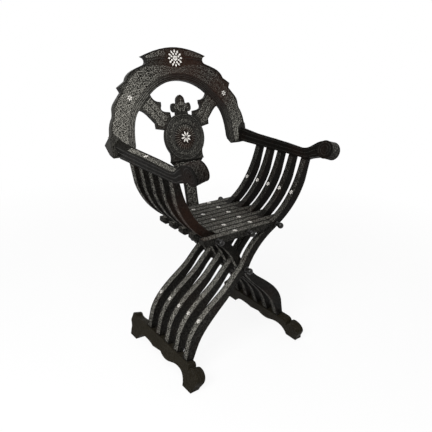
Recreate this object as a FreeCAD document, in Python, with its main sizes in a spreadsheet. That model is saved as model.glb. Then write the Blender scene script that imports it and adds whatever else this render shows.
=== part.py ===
"""Savonarola chair: two crossed sets of S-curved ribs on four rods, with a lift-out back.

Millimetres, +Z up, the front towards -Y, the origin on the floor under the middle of the chair.
Set A runs from the left foot to the right arm, set B from the right foot to the left arm.
Set B turns about the pivot rod, and the seat slats follow it.
"""
import FreeCAD, Part
import math
import os
from FreeCAD import Placement, Rotation, Vector

# Driving lengths in millimetres
LENGTHS = {
    "rib_width": 25.4,
    "rib_gap": 3.2,
    "pivot_height": 348.0,
    "seat_rod_height": 483.0,
    "seat_rod_spread": 127.8,
    "leg_thickness": 39.0,
    "waist_thickness": 26.0,
    "flare_thickness": 29.5,
    "tenon_length": 16.0,
    "tenon_thickness": 12.0,
    "tenon_width": 15.0,
    "joint_clearance": 0.1,
    "rod_diameter": 9.0,
    "bore_clearance": 0.08,
    "running_gap": 0.3,
    "overrun": 6.0,
    "curve_tolerance": 0.25,
    "slat_depth": 23.0,
    "slat_rise": 10.0,
    "slat_tail": 50.0,
    "slat_reach": 239.0,
    "slat_end_slant": 36.0,
    "slat_tail_chamfer": 8.0,
    "foot_spread": 243.0,
    "foot_height": 77.0,
    "foot_width": 32.0,
    "foot_front_reach": 215.0,
    "foot_rear_reach": 220.0,
    "foot_ledge": 5.0,
    "arm_inset": 31.5,
    "arm_rest_height": 690.4,
    "arm_height": 38.0,
    "arm_width": 28.0,
    "arm_front_reach": 217.0,
    "arm_rear_reach": 232.0,
    "scroll_radius": 30.0,
    "scroll_rise": 45.0,
    "scroll_width": 42.0,
    "ball_radius": 10.5,
    "ball_stand": 21.3,
    "collar_radius": 8.5,
    "collar_height": 3.5,
    "finial_neck_radius": 6.2,
    "cap_radius": 8.0,
    "cap_height": 5.5,
    "back_gap": 16.3,
    "back_rise": 341.6,
    "back_half_width": 292.0,
    "back_thickness": 20.0,
    "medallion_radius": 85.0,
    "medallion_thickness": 12.0,
    "medallion_boss_radius": 24.0,
    "medallion_boss_height": 4.0,
    "bracket_thickness": 14.0,
    "splat_thickness": 9.0,
    "cheek_inset": 34.0,
    "cheek_length": 55.0,
    "cheek_height": 70.0,
    "cheek_drop": 12.0,
    "splat_setback": 6.0,
    "splat_foot_drop": 8.0,
    "tongue_width": 10.0,
    "tongue_depth": 12.0,
    "tongue_height": 38.0,
    "tongue_seat_rise": 6.9,
    "tongue_clearance": 0.2,
    "inlay_radius": 8.5,
    "inlay_thickness": 1.2,
    "inlay_lift": 0.3,
    "slat_star_offset": 44.9,
    "rosette_reach": 30.0,
    "rosette_kite_width": 12.0,
    "medallion_star_radius": 21.0,
}

# Driving angles in degrees
ANGLES = {
    "medallion_foot_angle": -36.0,
    "bracket_low_angle": 22.0,
    "bracket_top_angle": 56.0,
    "finial_foot_angle": 73.0,
    "quarter_turn": 90.0,
    "foot_lean_angle": 15.6,
    "arm_lean_angle": 15.0,
    "back_lean_angle": 14.39,
}

# Driving counts
COUNTS = {
    "turned_sides": 12,
    "ball_sides": 8,
    "ribs_per_set": 5,
    "star_points": 6,
    "medallion_star_points": 8,
    "rosette_kites": 8,
}

# Centre line of a rib below the pivot: reach from the pivot, height above the foot, thickness
LEG_SHARES = [
    (1.0, 0.0, 0.68),
    (0.977, 0.067, 0.76),
    (0.924, 0.2115, 0.93),
    (0.869, 0.3057, 1.0),
    (0.706, 0.47, 1.0),
    (0.499, 0.62, 0.85),
    (0.285, 0.771, 0.67),
    (0.104, 0.935, 0.59),
]
# From the pivot up to the seat rod: reach, height, thickness
WAIST_SHARES = [
    (-0.015, 0.01, 1.0),
    (0.121, 0.252, 0.98),
    (0.258, 0.437, 1.0),
    (0.41, 0.598, 0.96),
    (0.581, 0.739, 0.9),
    (0.77, 0.868, 0.885),
    (1.0, 1.01, 0.96),
]
# From the seat rod up to the arm: reach, height, thickness
FLARE_SHARES = [
    (0.17, 0.082, 0.88),
    (0.357, 0.182, 0.915),
    (0.524, 0.296, 0.97),
    (0.669, 0.424, 1.0),
    (0.79, 0.564, 0.993),
    (0.886, 0.714, 0.93),
    (0.956, 0.868, 0.83),
    (1.0, 1.0, 0.71),
]
UPPER_STAR_SHARES = (0.6, 0.45)
LOWER_STAR_SHARES = (0.82, 0.41)

# Foot rail, seen from its side: shares of the front or rear reach and of the height over the sole.
# Each run is a curve up to the first point of the next run, or a line if it has one point.
FOOT_FRONT_SHARES = [
    [(-0.695, 1.0), (-0.73, 0.93), (-0.7465, 0.8)],
    [(-0.751, 0.73), (-0.765, 0.88), (-0.809, 0.963), (-0.87, 0.981), (-0.93, 0.933), (-0.977, 0.828),
     (-1.0, 0.681), (-0.991, 0.51), (-0.963, 0.363)],
    [(-0.92, 0.0)],
    [(-0.7, 0.0), (-0.651, 0.35), (-0.595, 0.485), (-0.512, 0.546), (-0.363, 0.497), (-0.223, 0.369),
     (-0.0744, 0.375)],
]
FOOT_REAR_SHARES = [
    [(0.009, 0.4765), (0.117, 0.333), (0.273, 0.4115), (0.418, 0.4605), (0.541, 0.436)],
    [(0.718, 0.0)],
    [(0.909, 0.0), (0.927, 0.2277), (0.941, 0.4238), (0.995, 0.62), (0.982, 0.816), (0.973, 0.988)],
    [(0.964, 1.02)],
    [(0.914, 1.037)],
    [(0.87, 0.95), (0.8, 0.94)],
]

# Arm rail, seen from its side: shares of the front or rear reach and of the height
ARM_TOP_SHARES = [
    (1.0, 1.36), (0.7, 1.17), (0.22, 1.05), (-0.28, 0.93), (-0.5, 0.87), (-0.63, 1.02),
    (-0.74, 1.45), (-0.82, 1.74), (-0.92, 1.88),
]
ARM_BOTTOM_SHARES = [(-1.0, 1.0), (-0.9, 0.55), (-0.76, 0.28)]
ARM_FLAT_START_SHARE = -0.64
ARM_STAR_SHARE = 0.14

# Back, seen from the front: shares of the half width and of the rise above the arm rests
CREST_SHARES = [
    [(0.702, 0.6898), (0.667, 0.7396), (0.541, 0.8039)],
    [(0.425, 0.8393), (0.404, 0.865)],
    [(0.414, 0.8971)],
    [(0.455, 0.9148), (0.24, 0.9743), (0.0, 1.0)],
]
CREST_INNER_SHARES = [(0.414, 0.55), (0.24, 0.64), (0.0, 0.6802)]
STILE_OUTER_SHARES = [
    [(0.414, 0.55)],
    [(0.702, 0.6898)],
    [(0.805, 0.6336)],
    [(0.777, 0.587), (0.86, 0.5075), (0.901, 0.45), (0.91, 0.385)],
    [(0.932, 0.345), (0.96, 0.29), (0.974, 0.235), (0.981, 0.2)],
]
STILE_INNER_SHARES = [
    [(0.765, -0.0135), (0.717, 0.025), (0.695, 0.0735), (0.6915, 0.13), (0.684, 0.2), (0.667, 0.275),
     (0.634, 0.3515)],
    [(0.58, 0.4122)],
]
BRACKET_SHARES = [
    [(0.414, 0.55), (0.372, 0.498)],
    [(0.284, 0.476)],
    [(0.283, 0.439), (0.293, 0.407)],
    [(0.246, 0.378)],
    [(0.173, 0.37)],
    [(0.168, 0.338)],
]
BRACKET_LOWER_SHARES = [
    [(0.381, 0.219)],
    [(0.384, 0.272), (0.437, 0.322), (0.495, 0.373)],
    [(0.58, 0.4122)],
]
# Lower splat: shares of the half width and of its own height
SPLAT_SHARES = [
    (0.243, 1.0), (0.205, 0.93), (0.14, 0.8), (0.098, 0.64), (0.087, 0.42), (0.085, 0.2), (0.088, 0.0),
]
# Shares of the medallion's radius from its centre
FINIAL_SHARES = [
    [(0.282, 1.059), (0.471, 1.292), (0.378, 1.439), (0.234, 1.392)],
    [(0.189, 1.492), (0.165, 1.626), (0.0, 1.772)],
]
# Circumradius of the prisms that a ball is cut from, as a share of its radius
BALL_CUT_SHARE = 1.04
SOCKET_RADIUS = "sizes.rod_diameter / 2 + 2 * sizes.bore_clearance"
CHEEK_SHARES = [(0.0, 0.0), (0.47, 0.18), (1.0, 0.68), (0.3, 1.0), (0.0, 1.0)]
STILE_STAR_SHARES = (0.685, 0.5291)
CREST_STAR_SHARE = 0.8923
MEDALLION_CENTRE_SHARE = 0.11
STAR_WAIST_SHARE = 0.55
MEDALLION_NECK_SHARES = [(0.794, -0.674), (0.835, -0.974)]
KITE_SHARES = [(0, 0.2), (1, 0.62), (0, 1.0), (-1, 0.62)]

doc = FreeCAD.newDocument("savonarola_chair")
sheet = doc.addObject("Spreadsheet::Sheet", "sizes")
for row, (alias, value) in enumerate({**LENGTHS, **ANGLES, **COUNTS}.items(), 1):
    sheet.set(f"A{row}", alias)
    sheet.set(f"B{row}", str(value))
    sheet.setAlias(f"B{row}", alias)
doc.recompute()

parts = []


def size(alias):
    """The value of one driving size."""
    return float(sheet.get(alias))


def keep(piece, label):
    """Name a finished piece and put it on the list of pieces to write."""
    piece.Label = label
    parts.append(piece)
    return piece


# Derived places that several pieces share
rib_pitch = 2 * (size("rib_width") + size("rib_gap"))
ribs_per_set = int(size("ribs_per_set"))
stack_half = ribs_per_set * rib_pitch / 2 - size("rib_gap") / 2
pivot = Vector(0, size("pivot_height"), 0)
seat_rod = Vector(size("seat_rod_spread"), size("seat_rod_height"), 0)
foot_lean = math.radians(size("foot_lean_angle"))
arm_lean = math.radians(size("arm_lean_angle"))
back_lean = math.radians(size("back_lean_angle"))
arm_spread = size("back_half_width") - size("arm_inset")
arm_rise = size("arm_rest_height") - size("seat_rod_height")
arm_level = arm_rise / math.cos(back_lean)
back_slope_rise = size("back_rise") / math.cos(back_lean)
back_foot_y = stack_half + size("back_gap")
rear_reach = (back_foot_y + (arm_rise + size("back_rise")) * math.tan(back_lean)
              + size("back_thickness") * math.cos(back_lean))
front_reach = size("arm_front_reach") + size("scroll_radius")
stack_y = (front_reach - rear_reach) / 2
rib_width = size("rib_width")
across = Rotation(Vector(0, 0, 1), 2 * size("quarter_turn"))
no_turn = Rotation()
face_turn = Rotation(Vector(1, 0, 0), size("quarter_turn"))
side_turn = Rotation(Vector(0, 0, 1), size("quarter_turn"))
back_frame = Placement(Vector(0, stack_y + back_foot_y, seat_rod.y),
                       Rotation(Vector(1, 0, 0), -size("back_lean_angle")))
tongue_seat = arm_level + size("tongue_seat_rise")
cheek_foot = tongue_seat - size("cheek_drop")
cheek_top = cheek_foot + size("cheek_height")


def rib_place(set_index, index):
    """Distance of one rib from the middle of the stack: set 0 starts at the front, set 1 behind it."""
    return (index - (ribs_per_set - 1) / 2) * rib_pitch + (set_index - 0.5) * rib_pitch / 2


def smooth_curve(points):
    """One smooth curve through all the points."""
    curve = Part.BSplineCurve()
    curve.interpolate(Points=points)
    return curve


def run_edges(points):
    """A line through two points, or the chords of a smooth curve through more."""
    stops = points
    if len(points) > 2:
        stops = smooth_curve(points).discretize(Deflection=size("curve_tolerance"))
    return [Part.LineSegment(start, end) for start, end in zip(stops, stops[1:])]


def joined_runs(runs):
    """Edges of an open outline whose runs each go on to the first point of the next run."""
    edges = []
    for run, following in zip(runs, runs[1:]):
        edges += run_edges(run + [following[0]])
    return edges


def closed_runs(runs):
    """Edges of a closed outline whose runs follow each other round."""
    return joined_runs(runs + [runs[0]])


def polygon(points):
    """Edges of a closed polygon."""
    return closed_runs([[point] for point in points])


def rectangle(x_low, x_high, y_low, y_high):
    """Edges of an upright rectangle."""
    corners = [(x_low, y_low), (x_high, y_low), (x_high, y_high), (x_low, y_high)]
    return polygon([Vector(x, y, 0) for x, y in corners])


def new_body(name):
    """An empty body of the document."""
    return doc.addObject("PartDesign::Body", name)


def flat_sketch(body, name, role, edges, offset=Placement()):
    """A sketch of the given edges on one of the body's own planes."""
    base = next(feature for feature in body.Origin.OriginFeatures if feature.Role == role)
    sketch = body.newObject("Sketcher::SketchObject", name)
    sketch.AttachmentSupport = [(base, "")]
    sketch.MapMode = "FlatFace"
    sketch.AttachmentOffset = offset
    sketch.addGeometry(edges, False)
    return sketch


def pad(body, name, role, edges, length, offset=Placement(), side="Symmetric"):
    """Thicken an outline by a length given as an expression of the sheet."""
    feature = body.newObject("PartDesign::Pad", name)
    feature.Profile = flat_sketch(body, name + "_outline", role, edges, offset)
    feature.SideType = side
    feature.setExpression("Length", length)
    return feature


def pocket(body, name, role, edges, length, offset=Placement(), reverse=False):
    """Cut an outline to a depth given as an expression of the sheet."""
    feature = body.newObject("PartDesign::Pocket", name)
    feature.Profile = flat_sketch(body, name + "_outline", role, edges, offset)
    feature.Reversed = reverse
    feature.setExpression("Length", length)
    return feature


def ring_edges(centre, radius):
    """Edges of a many-sided ring about a centre."""
    sides = int(size("turned_sides"))
    turns = [2 * math.pi * index / sides for index in range(sides)]
    return polygon([centre + Vector(math.cos(turn), math.sin(turn), 0) * radius for turn in turns])


def through_bore(body, name, centre):
    """A bore along Y right through a piece, its flats clear of the rod."""
    clear = size("rod_diameter") / 2 + size("bore_clearance")
    edges = ring_edges(centre, clear / math.cos(math.pi / size("turned_sides")))
    feature = body.newObject("PartDesign::Pocket", name)
    feature.Profile = flat_sketch(body, name + "_outline", "XZ_Plane", edges)
    feature.Type = "ThroughAll"
    feature.SideType = "Symmetric"


# Ribs
def rib_stations():
    """Centre points and half thicknesses of a rib from its foot shoulder to its arm shoulder."""
    foot_shoulder = Vector(size("foot_spread") - size("foot_height") * math.sin(foot_lean),
                           size("foot_height") * math.cos(foot_lean), 0)
    stations = []
    for reach, rise, thickness in LEG_SHARES:
        height = foot_shoulder.y + rise * (pivot.y - foot_shoulder.y)
        stations.append((Vector(-reach * foot_shoulder.x, height, 0),
                         thickness * size("leg_thickness") / 2))
    for reach, rise, thickness in WAIST_SHARES:
        height = pivot.y + rise * (seat_rod.y - pivot.y)
        stations.append((Vector(reach * seat_rod.x, height, 0),
                         thickness * size("waist_thickness") / 2))
    for reach, rise, thickness in FLARE_SHARES:
        height = seat_rod.y + rise * (size("arm_rest_height") - seat_rod.y)
        across_reach = seat_rod.x + reach * (arm_spread - seat_rod.x)
        stations.append((Vector(across_reach, height, 0), thickness * size("flare_thickness") / 2))
    return stations


def rib_edges():
    """The upper and the lower edge of a rib, as lists of points."""
    stations = rib_stations()
    upper = []
    lower = []
    for index, (centre, half) in enumerate(stations):
        if index == 0:
            along = Vector(math.sin(foot_lean), math.cos(foot_lean), 0)
        elif index == len(stations) - 1:
            along = Vector(math.sin(arm_lean), math.cos(arm_lean), 0)
        else:
            along = (stations[index + 1][0] - stations[index - 1][0]).normalize()
        normal = Vector(-along.y, along.x, 0)
        upper.append(centre + normal * half)
        lower.append(centre - normal * half)
    return upper, lower


RIB_UPPER, RIB_LOWER = rib_edges()


def tenon_edges(shoulder, along):
    """A tenon's outline beyond the shoulder, pointing along the given direction."""
    side = Vector(along.y, -along.x, 0) * (size("tenon_thickness") / 2)
    root = shoulder - along * size("joint_clearance")
    tip = shoulder + along * size("tenon_length")
    return polygon([root + side, tip + side, tip - side, root - side])


def star_outline(radius, waist, points):
    """A star with its first point up."""
    corners = []
    for index in range(2 * points):
        reach = radius if index % 2 == 0 else waist
        angle = math.pi / 2 + math.pi * index / points
        corners.append(Vector(reach * math.cos(angle), reach * math.sin(angle), 0))
    return polygon(corners)


def small_star():
    """The outline of a small star."""
    radius = size("inlay_radius")
    return star_outline(radius, radius * STAR_WAIST_SHARE, int(size("star_points")))


def edge_frame(points, target, outward):
    """The place of a star on an edge face that runs through the points, its Z axis out of the wood."""
    near = Part.Vertex(target)
    arc = min(run_edges(points), key=lambda edge: edge.toShape().distToShape(near)[0])
    where = arc.parameter(target)
    spot = arc.value(where)
    tangent = arc.tangent(where)[0]
    along = Vector(tangent.x, 0, tangent.y).normalize()
    normal = Vector(-along.z, 0, along.x) * outward
    return Placement(Vector(spot.x, 0, spot.y), Rotation(Vector(), along, normal, "ZYX"))


def rib_star_frames():
    """The places of the two stars on each rib: inside the bowl of the seat and on top of the leg."""
    foot_reach = size("foot_spread") - size("foot_height") * math.sin(foot_lean)
    high = Vector(seat_rod.x + UPPER_STAR_SHARES[0] * (arm_spread - seat_rod.x),
                  seat_rod.y + UPPER_STAR_SHARES[1] * (size("arm_rest_height") - seat_rod.y), 0)
    low = Vector(-LOWER_STAR_SHARES[0] * foot_reach,
                 pivot.y * (1 - LOWER_STAR_SHARES[1]), 0)
    return [edge_frame(RIB_UPPER, high, 1), edge_frame(RIB_UPPER, low, 1)]


RIB_STAR_FRAMES = rib_star_frames()


def raised(frame, height):
    """A frame moved out along its own Z axis."""
    return Placement(frame.Base + frame.Rotation.multVec(Vector(0, 0, height)), frame.Rotation)


def rib(set_index, index):
    """One rib: set 0 rises to the right arm, set 1 is the same rib turned about the vertical."""
    letter = "ab"[set_index]
    name = f"rib_{letter}{index + 1}"
    body = new_body(name)
    runs = [RIB_UPPER[:-1], [RIB_UPPER[-1]], list(reversed(RIB_LOWER))[:-1], [RIB_LOWER[0]]]
    pad(body, name + "_blade", "XZ_Plane", closed_runs(runs), "sizes.rib_width")
    stations = rib_stations()
    down_leg = Vector(-math.sin(foot_lean), -math.cos(foot_lean), 0)
    up_arm = Vector(math.sin(arm_lean), math.cos(arm_lean), 0)
    pad(body, name + "_foot_tenon", "XZ_Plane", tenon_edges(stations[0][0], down_leg),
        "sizes.tenon_width")
    pad(body, name + "_arm_tenon", "XZ_Plane", tenon_edges(stations[-1][0], up_arm),
        "sizes.tenon_width")
    through_bore(body, name + "_pivot_bore", pivot)
    through_bore(body, name + "_seat_bore", seat_rod)
    turn = no_turn if set_index == 0 else across
    body.Placement = Placement(Vector(0, stack_y + rib_place(set_index, index), 0), turn)
    return keep(body, name)


# Inlays
inlay_groups = {}


def inlay(group, name, frame, edges, floor):
    """A thin inlay whose underside lies at the given height over the frame."""
    body = new_body(name)
    pad(body, name + "_plate", "XY_Plane", edges, "sizes.inlay_thickness", side="One side")
    body.Placement = raised(frame, floor)
    inlay_groups.setdefault(group, []).append(body)


def make_ribs():
    """Both sets of ribs with their stars."""
    for set_index in range(2):
        group = ["fixed_rib_stars", "folding_rib_stars"][set_index]
        for index in range(ribs_per_set):
            body = rib(set_index, index)
            for number, frame in enumerate(RIB_STAR_FRAMES, 1):
                place = body.Placement.multiply(frame)
                inlay(group, f"{body.Name}_star{number}", place, small_star(), size("inlay_lift"))


# Seat slats
def slat(side, index):
    """A slat pinned on the left (side -1) or right (side 1) seat rod, in its local frame."""
    set_index = 0 if side < 0 else 1
    name = f"{'left' if side < 0 else 'right'}_slat{index + 1}"
    body = new_body(name)
    top = seat_rod.y + size("slat_rise")
    bottom = top - size("slat_depth")
    tail = -seat_rod.x - size("slat_tail")
    tip = size("slat_reach") - seat_rod.x
    corners = [(tail, top), (tip, top), (tip - size("slat_end_slant"), bottom),
               (tail + size("slat_tail_chamfer"), bottom), (tail, bottom + size("slat_tail_chamfer"))]
    pad(body, name + "_bar", "XZ_Plane", polygon([Vector(x, y, 0) for x, y in corners]),
        "sizes.rib_width")
    through_bore(body, name + "_seat_bore", Vector(-seat_rod.x, seat_rod.y, 0))
    through_bore(body, name + "_middle_bore", Vector(0, seat_rod.y, 0))
    star_frame = Placement(Vector(-size("slat_star_offset"), 0, top), no_turn)
    turn = no_turn if side < 0 else across
    body.Placement = Placement(Vector(0, stack_y + rib_place(set_index, index), 0), turn)
    group = "left_slat_stars" if side < 0 else "right_slat_stars"
    inlay(group, name + "_star", body.Placement.multiply(star_frame), small_star(), 0)
    return keep(body, name)


def make_slats():
    """The ten slats and, in each, its pin on the middle rod's line."""
    middle_end = Vector(0, 0, seat_rod.y)
    for side, word in ((-1, "left"), (1, "right")):
        pins = []
        for index in range(ribs_per_set):
            bar = slat(side, index)
            place = bar.Placement.Base.y
            front = place - rib_width / 2
            length = "sizes.rib_width"
            if side < 0 and index == 0:
                front -= size("ball_stand") / 2
                length += " + sizes.ball_stand / 2"
            if side > 0 and index == ribs_per_set - 1:
                length += " + sizes.cap_height / 2"
            pin = prism(f"{word}_middle_pin{index + 1}", "sizes.rod_diameter / 2", length)
            pin.Placement = Placement(Vector(0, front, seat_rod.y), face_turn.inverted())
            pins.append(pin)
        if side < 0:
            pins.append(finial("middle_front_finial", middle_end, True))
        else:
            pins.append(cap("middle_rear_cap", middle_end))
        grouped(f"{word}_middle_pins", pins)


# Rods and finials
def prism(name, radius, height, sides="sizes.turned_sides"):
    """A many-sided pin along Z, its sizes given as expressions of the sheet."""
    bar = doc.addObject("Part::Prism", name)
    bar.setExpression("Polygon", sides)
    bar.setExpression("Circumradius", radius)
    bar.setExpression("Height", height)
    return bar


def rod(name, centre):
    """A rod through the whole stack, its ends inside the finials."""
    stack = "2 * sizes.ribs_per_set * (sizes.rib_width + sizes.rib_gap) - sizes.rib_gap"
    bar = prism(name, "sizes.rod_diameter / 2", f"{stack} + sizes.ball_stand")
    front = stack_y - stack_half - size("ball_stand") / 2
    bar.Placement = Placement(Vector(centre.x, front, centre.y), face_turn.inverted())
    return keep(bar, name)


def ball(name):
    """A many-faced ball about the finial's middle: the common part of three crossed prisms."""
    radius = size("ball_radius")
    twist = Rotation(Vector(0, 0, 1), 2 * size("quarter_turn") / size("ball_sides"))
    cuts = []
    for number, turn in enumerate((no_turn, face_turn, side_turn.multiply(face_turn)), 1):
        cutter = prism(f"{name}_cut{number}", f"{BALL_CUT_SHARE} * sizes.ball_radius",
                       "2 * sizes.ball_radius", "sizes.ball_sides")
        along = turn.multVec(Vector(0, 0, radius))
        cutter.Placement = Placement(Vector(0, 0, size("ball_stand")) - along, turn.multiply(twist))
        cuts.append(cutter)
    common = doc.addObject("Part::MultiCommon", name)
    common.Shapes = cuts
    return common


def on_rod_end(name, members, socket_depth, end, front):
    """Turned members joined, with a socket, on a rod's front or rear end at the given x and z."""
    joined = members[0]
    if len(members) > 1:
        joined = doc.addObject("Part::MultiFuse", name + "_turning")
        joined.Shapes = members
    piece = doc.addObject("Part::Cut", name)
    piece.Base = joined
    piece.Tool = prism(name + "_socket", SOCKET_RADIUS, socket_depth)
    face = stack_y + (-stack_half if front else stack_half)
    turn = face_turn if front else face_turn.inverted()
    piece.Placement = Placement(Vector(end.x, face, end.z), turn)
    return piece


def finial(name, end, front, gap=0):
    """A ball finial with its neck and collar, the gap away from the wood."""
    collar = prism(name + "_collar", "sizes.collar_radius", "sizes.collar_height")
    neck = prism(name + "_neck", "sizes.finial_neck_radius", "sizes.ball_stand")
    for ring in (collar, neck):
        ring.Placement = Placement(Vector(0, 0, gap), Rotation())
    members = [collar, neck, ball(name + "_ball")]
    return on_rod_end(name, members, "sizes.ball_stand / 2 + sizes.bore_clearance", end, front)


def cap(name, end):
    """The low cap behind the middle pin."""
    disc = prism(name + "_disc", "sizes.cap_radius", "sizes.cap_height")
    return on_rod_end(name, [disc], "sizes.cap_height / 2 + sizes.bore_clearance", end, False)


def grouped(name, members):
    """Several like pieces of one moving part, kept as separate solids in one node."""
    group = doc.addObject("Part::Compound", name)
    group.Links = members
    return keep(group, name)


def make_rods():
    """The pivot rod and the two seat rods, with a ball finial at each end."""
    rod("pivot_rod", pivot)
    rod("left_seat_rod", Vector(-seat_rod.x, seat_rod.y, 0))
    rod("right_seat_rod", seat_rod)
    gap = size("running_gap")
    pivot_end = Vector(0, 0, pivot.y)
    left_end = Vector(-seat_rod.x, 0, seat_rod.y)
    right_end = Vector(seat_rod.x, 0, seat_rod.y)
    grouped("fixed_rod_finials", [
        finial("pivot_front_finial", pivot_end, True),
        finial("pivot_rear_finial", pivot_end, False, gap),
        finial("right_front_finial", right_end, True),
        finial("right_rear_finial", right_end, False, gap),
    ])
    grouped("left_rod_finials", [
        finial("left_front_finial", left_end, True, gap),
        finial("left_rear_finial", left_end, False),
    ])


# Rails
def rail_point(shares, front, rear, low, high):
    """A point of a rail's side outline from shares of its reaches and of its height."""
    reach = front if shares[0] < 0 else rear
    return Vector(shares[0] * reach, low + shares[1] * (high - low), 0)


def mortises(body, name, set_index, offset, upwards):
    """Mortises for one set's tenons, sunk into the face at the offset."""
    clearance = size("joint_clearance")
    half_width = size("tenon_width") / 2 + clearance
    half_thickness = size("tenon_thickness") / 2 + clearance
    for index in range(ribs_per_set):
        place = rib_place(set_index, index)
        edges = rectangle(-half_thickness, half_thickness, place - half_width, place + half_width)
        pocket(body, f"{name}_mortise{index + 1}", "XY_Plane", edges,
               "sizes.tenon_length + sizes.joint_clearance", offset, upwards)


def foot(side):
    """A foot rail: side -1 is the left foot under set A, side 1 the right foot under set B."""
    set_index = 0 if side < 0 else 1
    name = "left_foot" if side < 0 else "right_foot"
    body = new_body(name)
    height = size("foot_height")
    front = size("foot_front_reach")
    rear = size("foot_rear_reach")
    ledge = stack_half + size("foot_ledge")
    runs = [[Vector(ledge, height, 0)], [Vector(-ledge, height, 0)]]
    sole = -size("foot_width") / 2 * math.tan(foot_lean) - size("joint_clearance")
    runs += [[rail_point(point, front, rear, sole, height) for point in run]
             for run in FOOT_FRONT_SHARES + FOOT_REAR_SHARES]
    pad(body, name + "_rail", "YZ_Plane", closed_runs(runs), "sizes.foot_width")
    mortises(body, name, set_index, Placement(Vector(0, 0, height), no_turn), False)
    width = size("foot_width")
    drop = width * math.tan(foot_lean)
    ground = [Vector(-width, side * drop, 0), Vector(width, -side * drop, 0),
              Vector(width, -drop - width, 0), Vector(-width, -drop - width, 0)]
    feature = pocket(body, name + "_sole", "XZ_Plane", polygon(ground),
                     "2 * (sizes.foot_front_reach + sizes.foot_rear_reach)")
    feature.SideType = "Symmetric"
    body.Placement = Placement(Vector(side * size("foot_spread"), stack_y, 0),
                               Rotation(Vector(0, 1, 0), -side * size("foot_lean_angle")))
    return keep(body, name)


def back_box(name, corner, length, width, height):
    """A box square to the back, from its low inner corner, its sides given as expressions."""
    box = doc.addObject("Part::Box", name)
    box.setExpression("Length", length)
    box.setExpression("Width", width)
    box.setExpression("Height", height)
    box.Placement = back_frame.multiply(Placement(corner, no_turn))
    return box


def tongue_inner(side):
    """Inner face of a tongue: in the middle of the right arm, on the outer side of the left arm."""
    if side > 0:
        middle = arm_spread + size("tongue_seat_rise") * math.sin(arm_lean)
    else:
        middle = arm_spread + size("arm_width") / 2
    return middle - size("tongue_width") / 2


def arm(side):
    """An arm rail with its front scroll: side 1 on set A, side -1 on set B."""
    set_index = 0 if side > 0 else 1
    name = "right_arm" if side > 0 else "left_arm"
    body = new_body(name + "_rail")
    height = size("arm_height")
    front = size("arm_front_reach")
    rear = size("arm_rear_reach")
    top_run = [rail_point(point, front, rear, 0, height) for point in ARM_TOP_SHARES]
    bottom_run = [rail_point(point, front, rear, 0, height) for point in ARM_BOTTOM_SHARES]
    runs = [top_run, bottom_run, [Vector(ARM_FLAT_START_SHARE * front, 0, 0)], [Vector(rear, 0, 0)]]
    pad(body, name + "_bar", "YZ_Plane", closed_runs(runs), "sizes.arm_width")
    centre = Vector(-front, size("scroll_rise"), 0)
    circle = Part.Circle(centre, Vector(0, 0, 1), size("scroll_radius"))
    outer_overhang = (size("scroll_width") - size("arm_width")) / 2
    flush_outside = Placement(Vector(0, 0, -side * outer_overhang), Rotation())
    pad(body, name + "_scroll", "YZ_Plane", [circle], "sizes.scroll_width", flush_outside)
    mortises(body, name, set_index, Placement(), True)
    star_frame = edge_frame(top_run, Vector(ARM_STAR_SHARE * rear, height, 0), -1)
    star_place = Placement(Vector(), side_turn).multiply(star_frame)
    body.Placement = Placement(Vector(side * arm_spread, stack_y, size("arm_rest_height")),
                               Rotation(Vector(0, 1, 0), side * size("arm_lean_angle")))
    group = "fixed_rib_stars" if side > 0 else "folding_rib_stars"
    inlay(group, name + "_star", body.Placement.multiply(star_place), small_star(), size("inlay_lift"))

    clearance = size("tongue_clearance")
    reach = size("scroll_width")
    behind = back_box(name + "_rear_cut", Vector(side * arm_spread - reach, -size("running_gap"), 0),
                      "2 * sizes.scroll_width", "sizes.arm_rear_reach", "sizes.arm_rest_height")
    front_face = -size("tongue_depth") - clearance
    deep = "sizes.tongue_depth + sizes.tongue_clearance + sizes.overrun"
    if side > 0:
        corner = Vector(tongue_inner(side) - clearance, front_face, tongue_seat - clearance)
        slot = back_box(name + "_tongue_slot", corner,
                        "sizes.tongue_width + 2 * sizes.tongue_clearance", deep, "sizes.back_rise")
    else:
        corner = Vector(clearance - tongue_inner(side) - reach, front_face, 0)
        slot = back_box(name + "_tongue_lap", corner, "sizes.scroll_width", deep,
                        "sizes.arm_rest_height")
    tool = doc.addObject("Part::MultiFuse", name + "_cuts")
    tool.Shapes = [behind, slot]
    piece = doc.addObject("Part::Cut", name + "_piece")
    piece.Base = body
    piece.Tool = tool
    return keep(piece, name)


# Back
def back_point(shares):
    """A point of the back's front view from shares of its half width and its rise above the arms."""
    return Vector(shares[0] * size("back_half_width"), arm_level + shares[1] * back_slope_rise, 0)


def back_board(name, runs, thickness, setback=0):
    """A board of the back: its front face lies behind the front plane by the setback."""
    body = new_body(name)
    feature = pad(body, name + "_board", "XZ_Plane", runs, thickness,
                  Placement(Vector(0, 0, -setback), no_turn), "One side")
    feature.Reversed = True
    body.Placement = back_frame
    return keep(body, name)


def mirrored(points, side):
    """Points of the left or right half of an outline."""
    return [Vector(side * point.x, point.y, 0) for point in points]


def make_crest():
    """The crest board: the top of the arch between its two sloping joints."""
    right = [[back_point(shares) for shares in run] for run in CREST_SHARES]
    inner = [back_point(shares) for shares in CREST_INNER_SHARES]
    right_outer = right[0] + [right[1][0]]
    shoulder = right[1] + [right[2][0]]
    tip = right[2] + [right[3][0]]
    top = right[3] + mirrored(list(reversed(right[3][:-1])), -1)
    inner_arch = mirrored(inner, -1) + list(reversed(inner[:-1]))
    edges = run_edges(inner_arch) + run_edges([inner[0], right_outer[0]]) + run_edges(top)
    for side in (1, -1):
        for run in (right_outer, shoulder, tip):
            edges += run_edges(mirrored(run, side))
    edges += run_edges(mirrored([right_outer[0], inner[0]], -1))
    back_board("crest_board", edges, "sizes.back_thickness")


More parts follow.
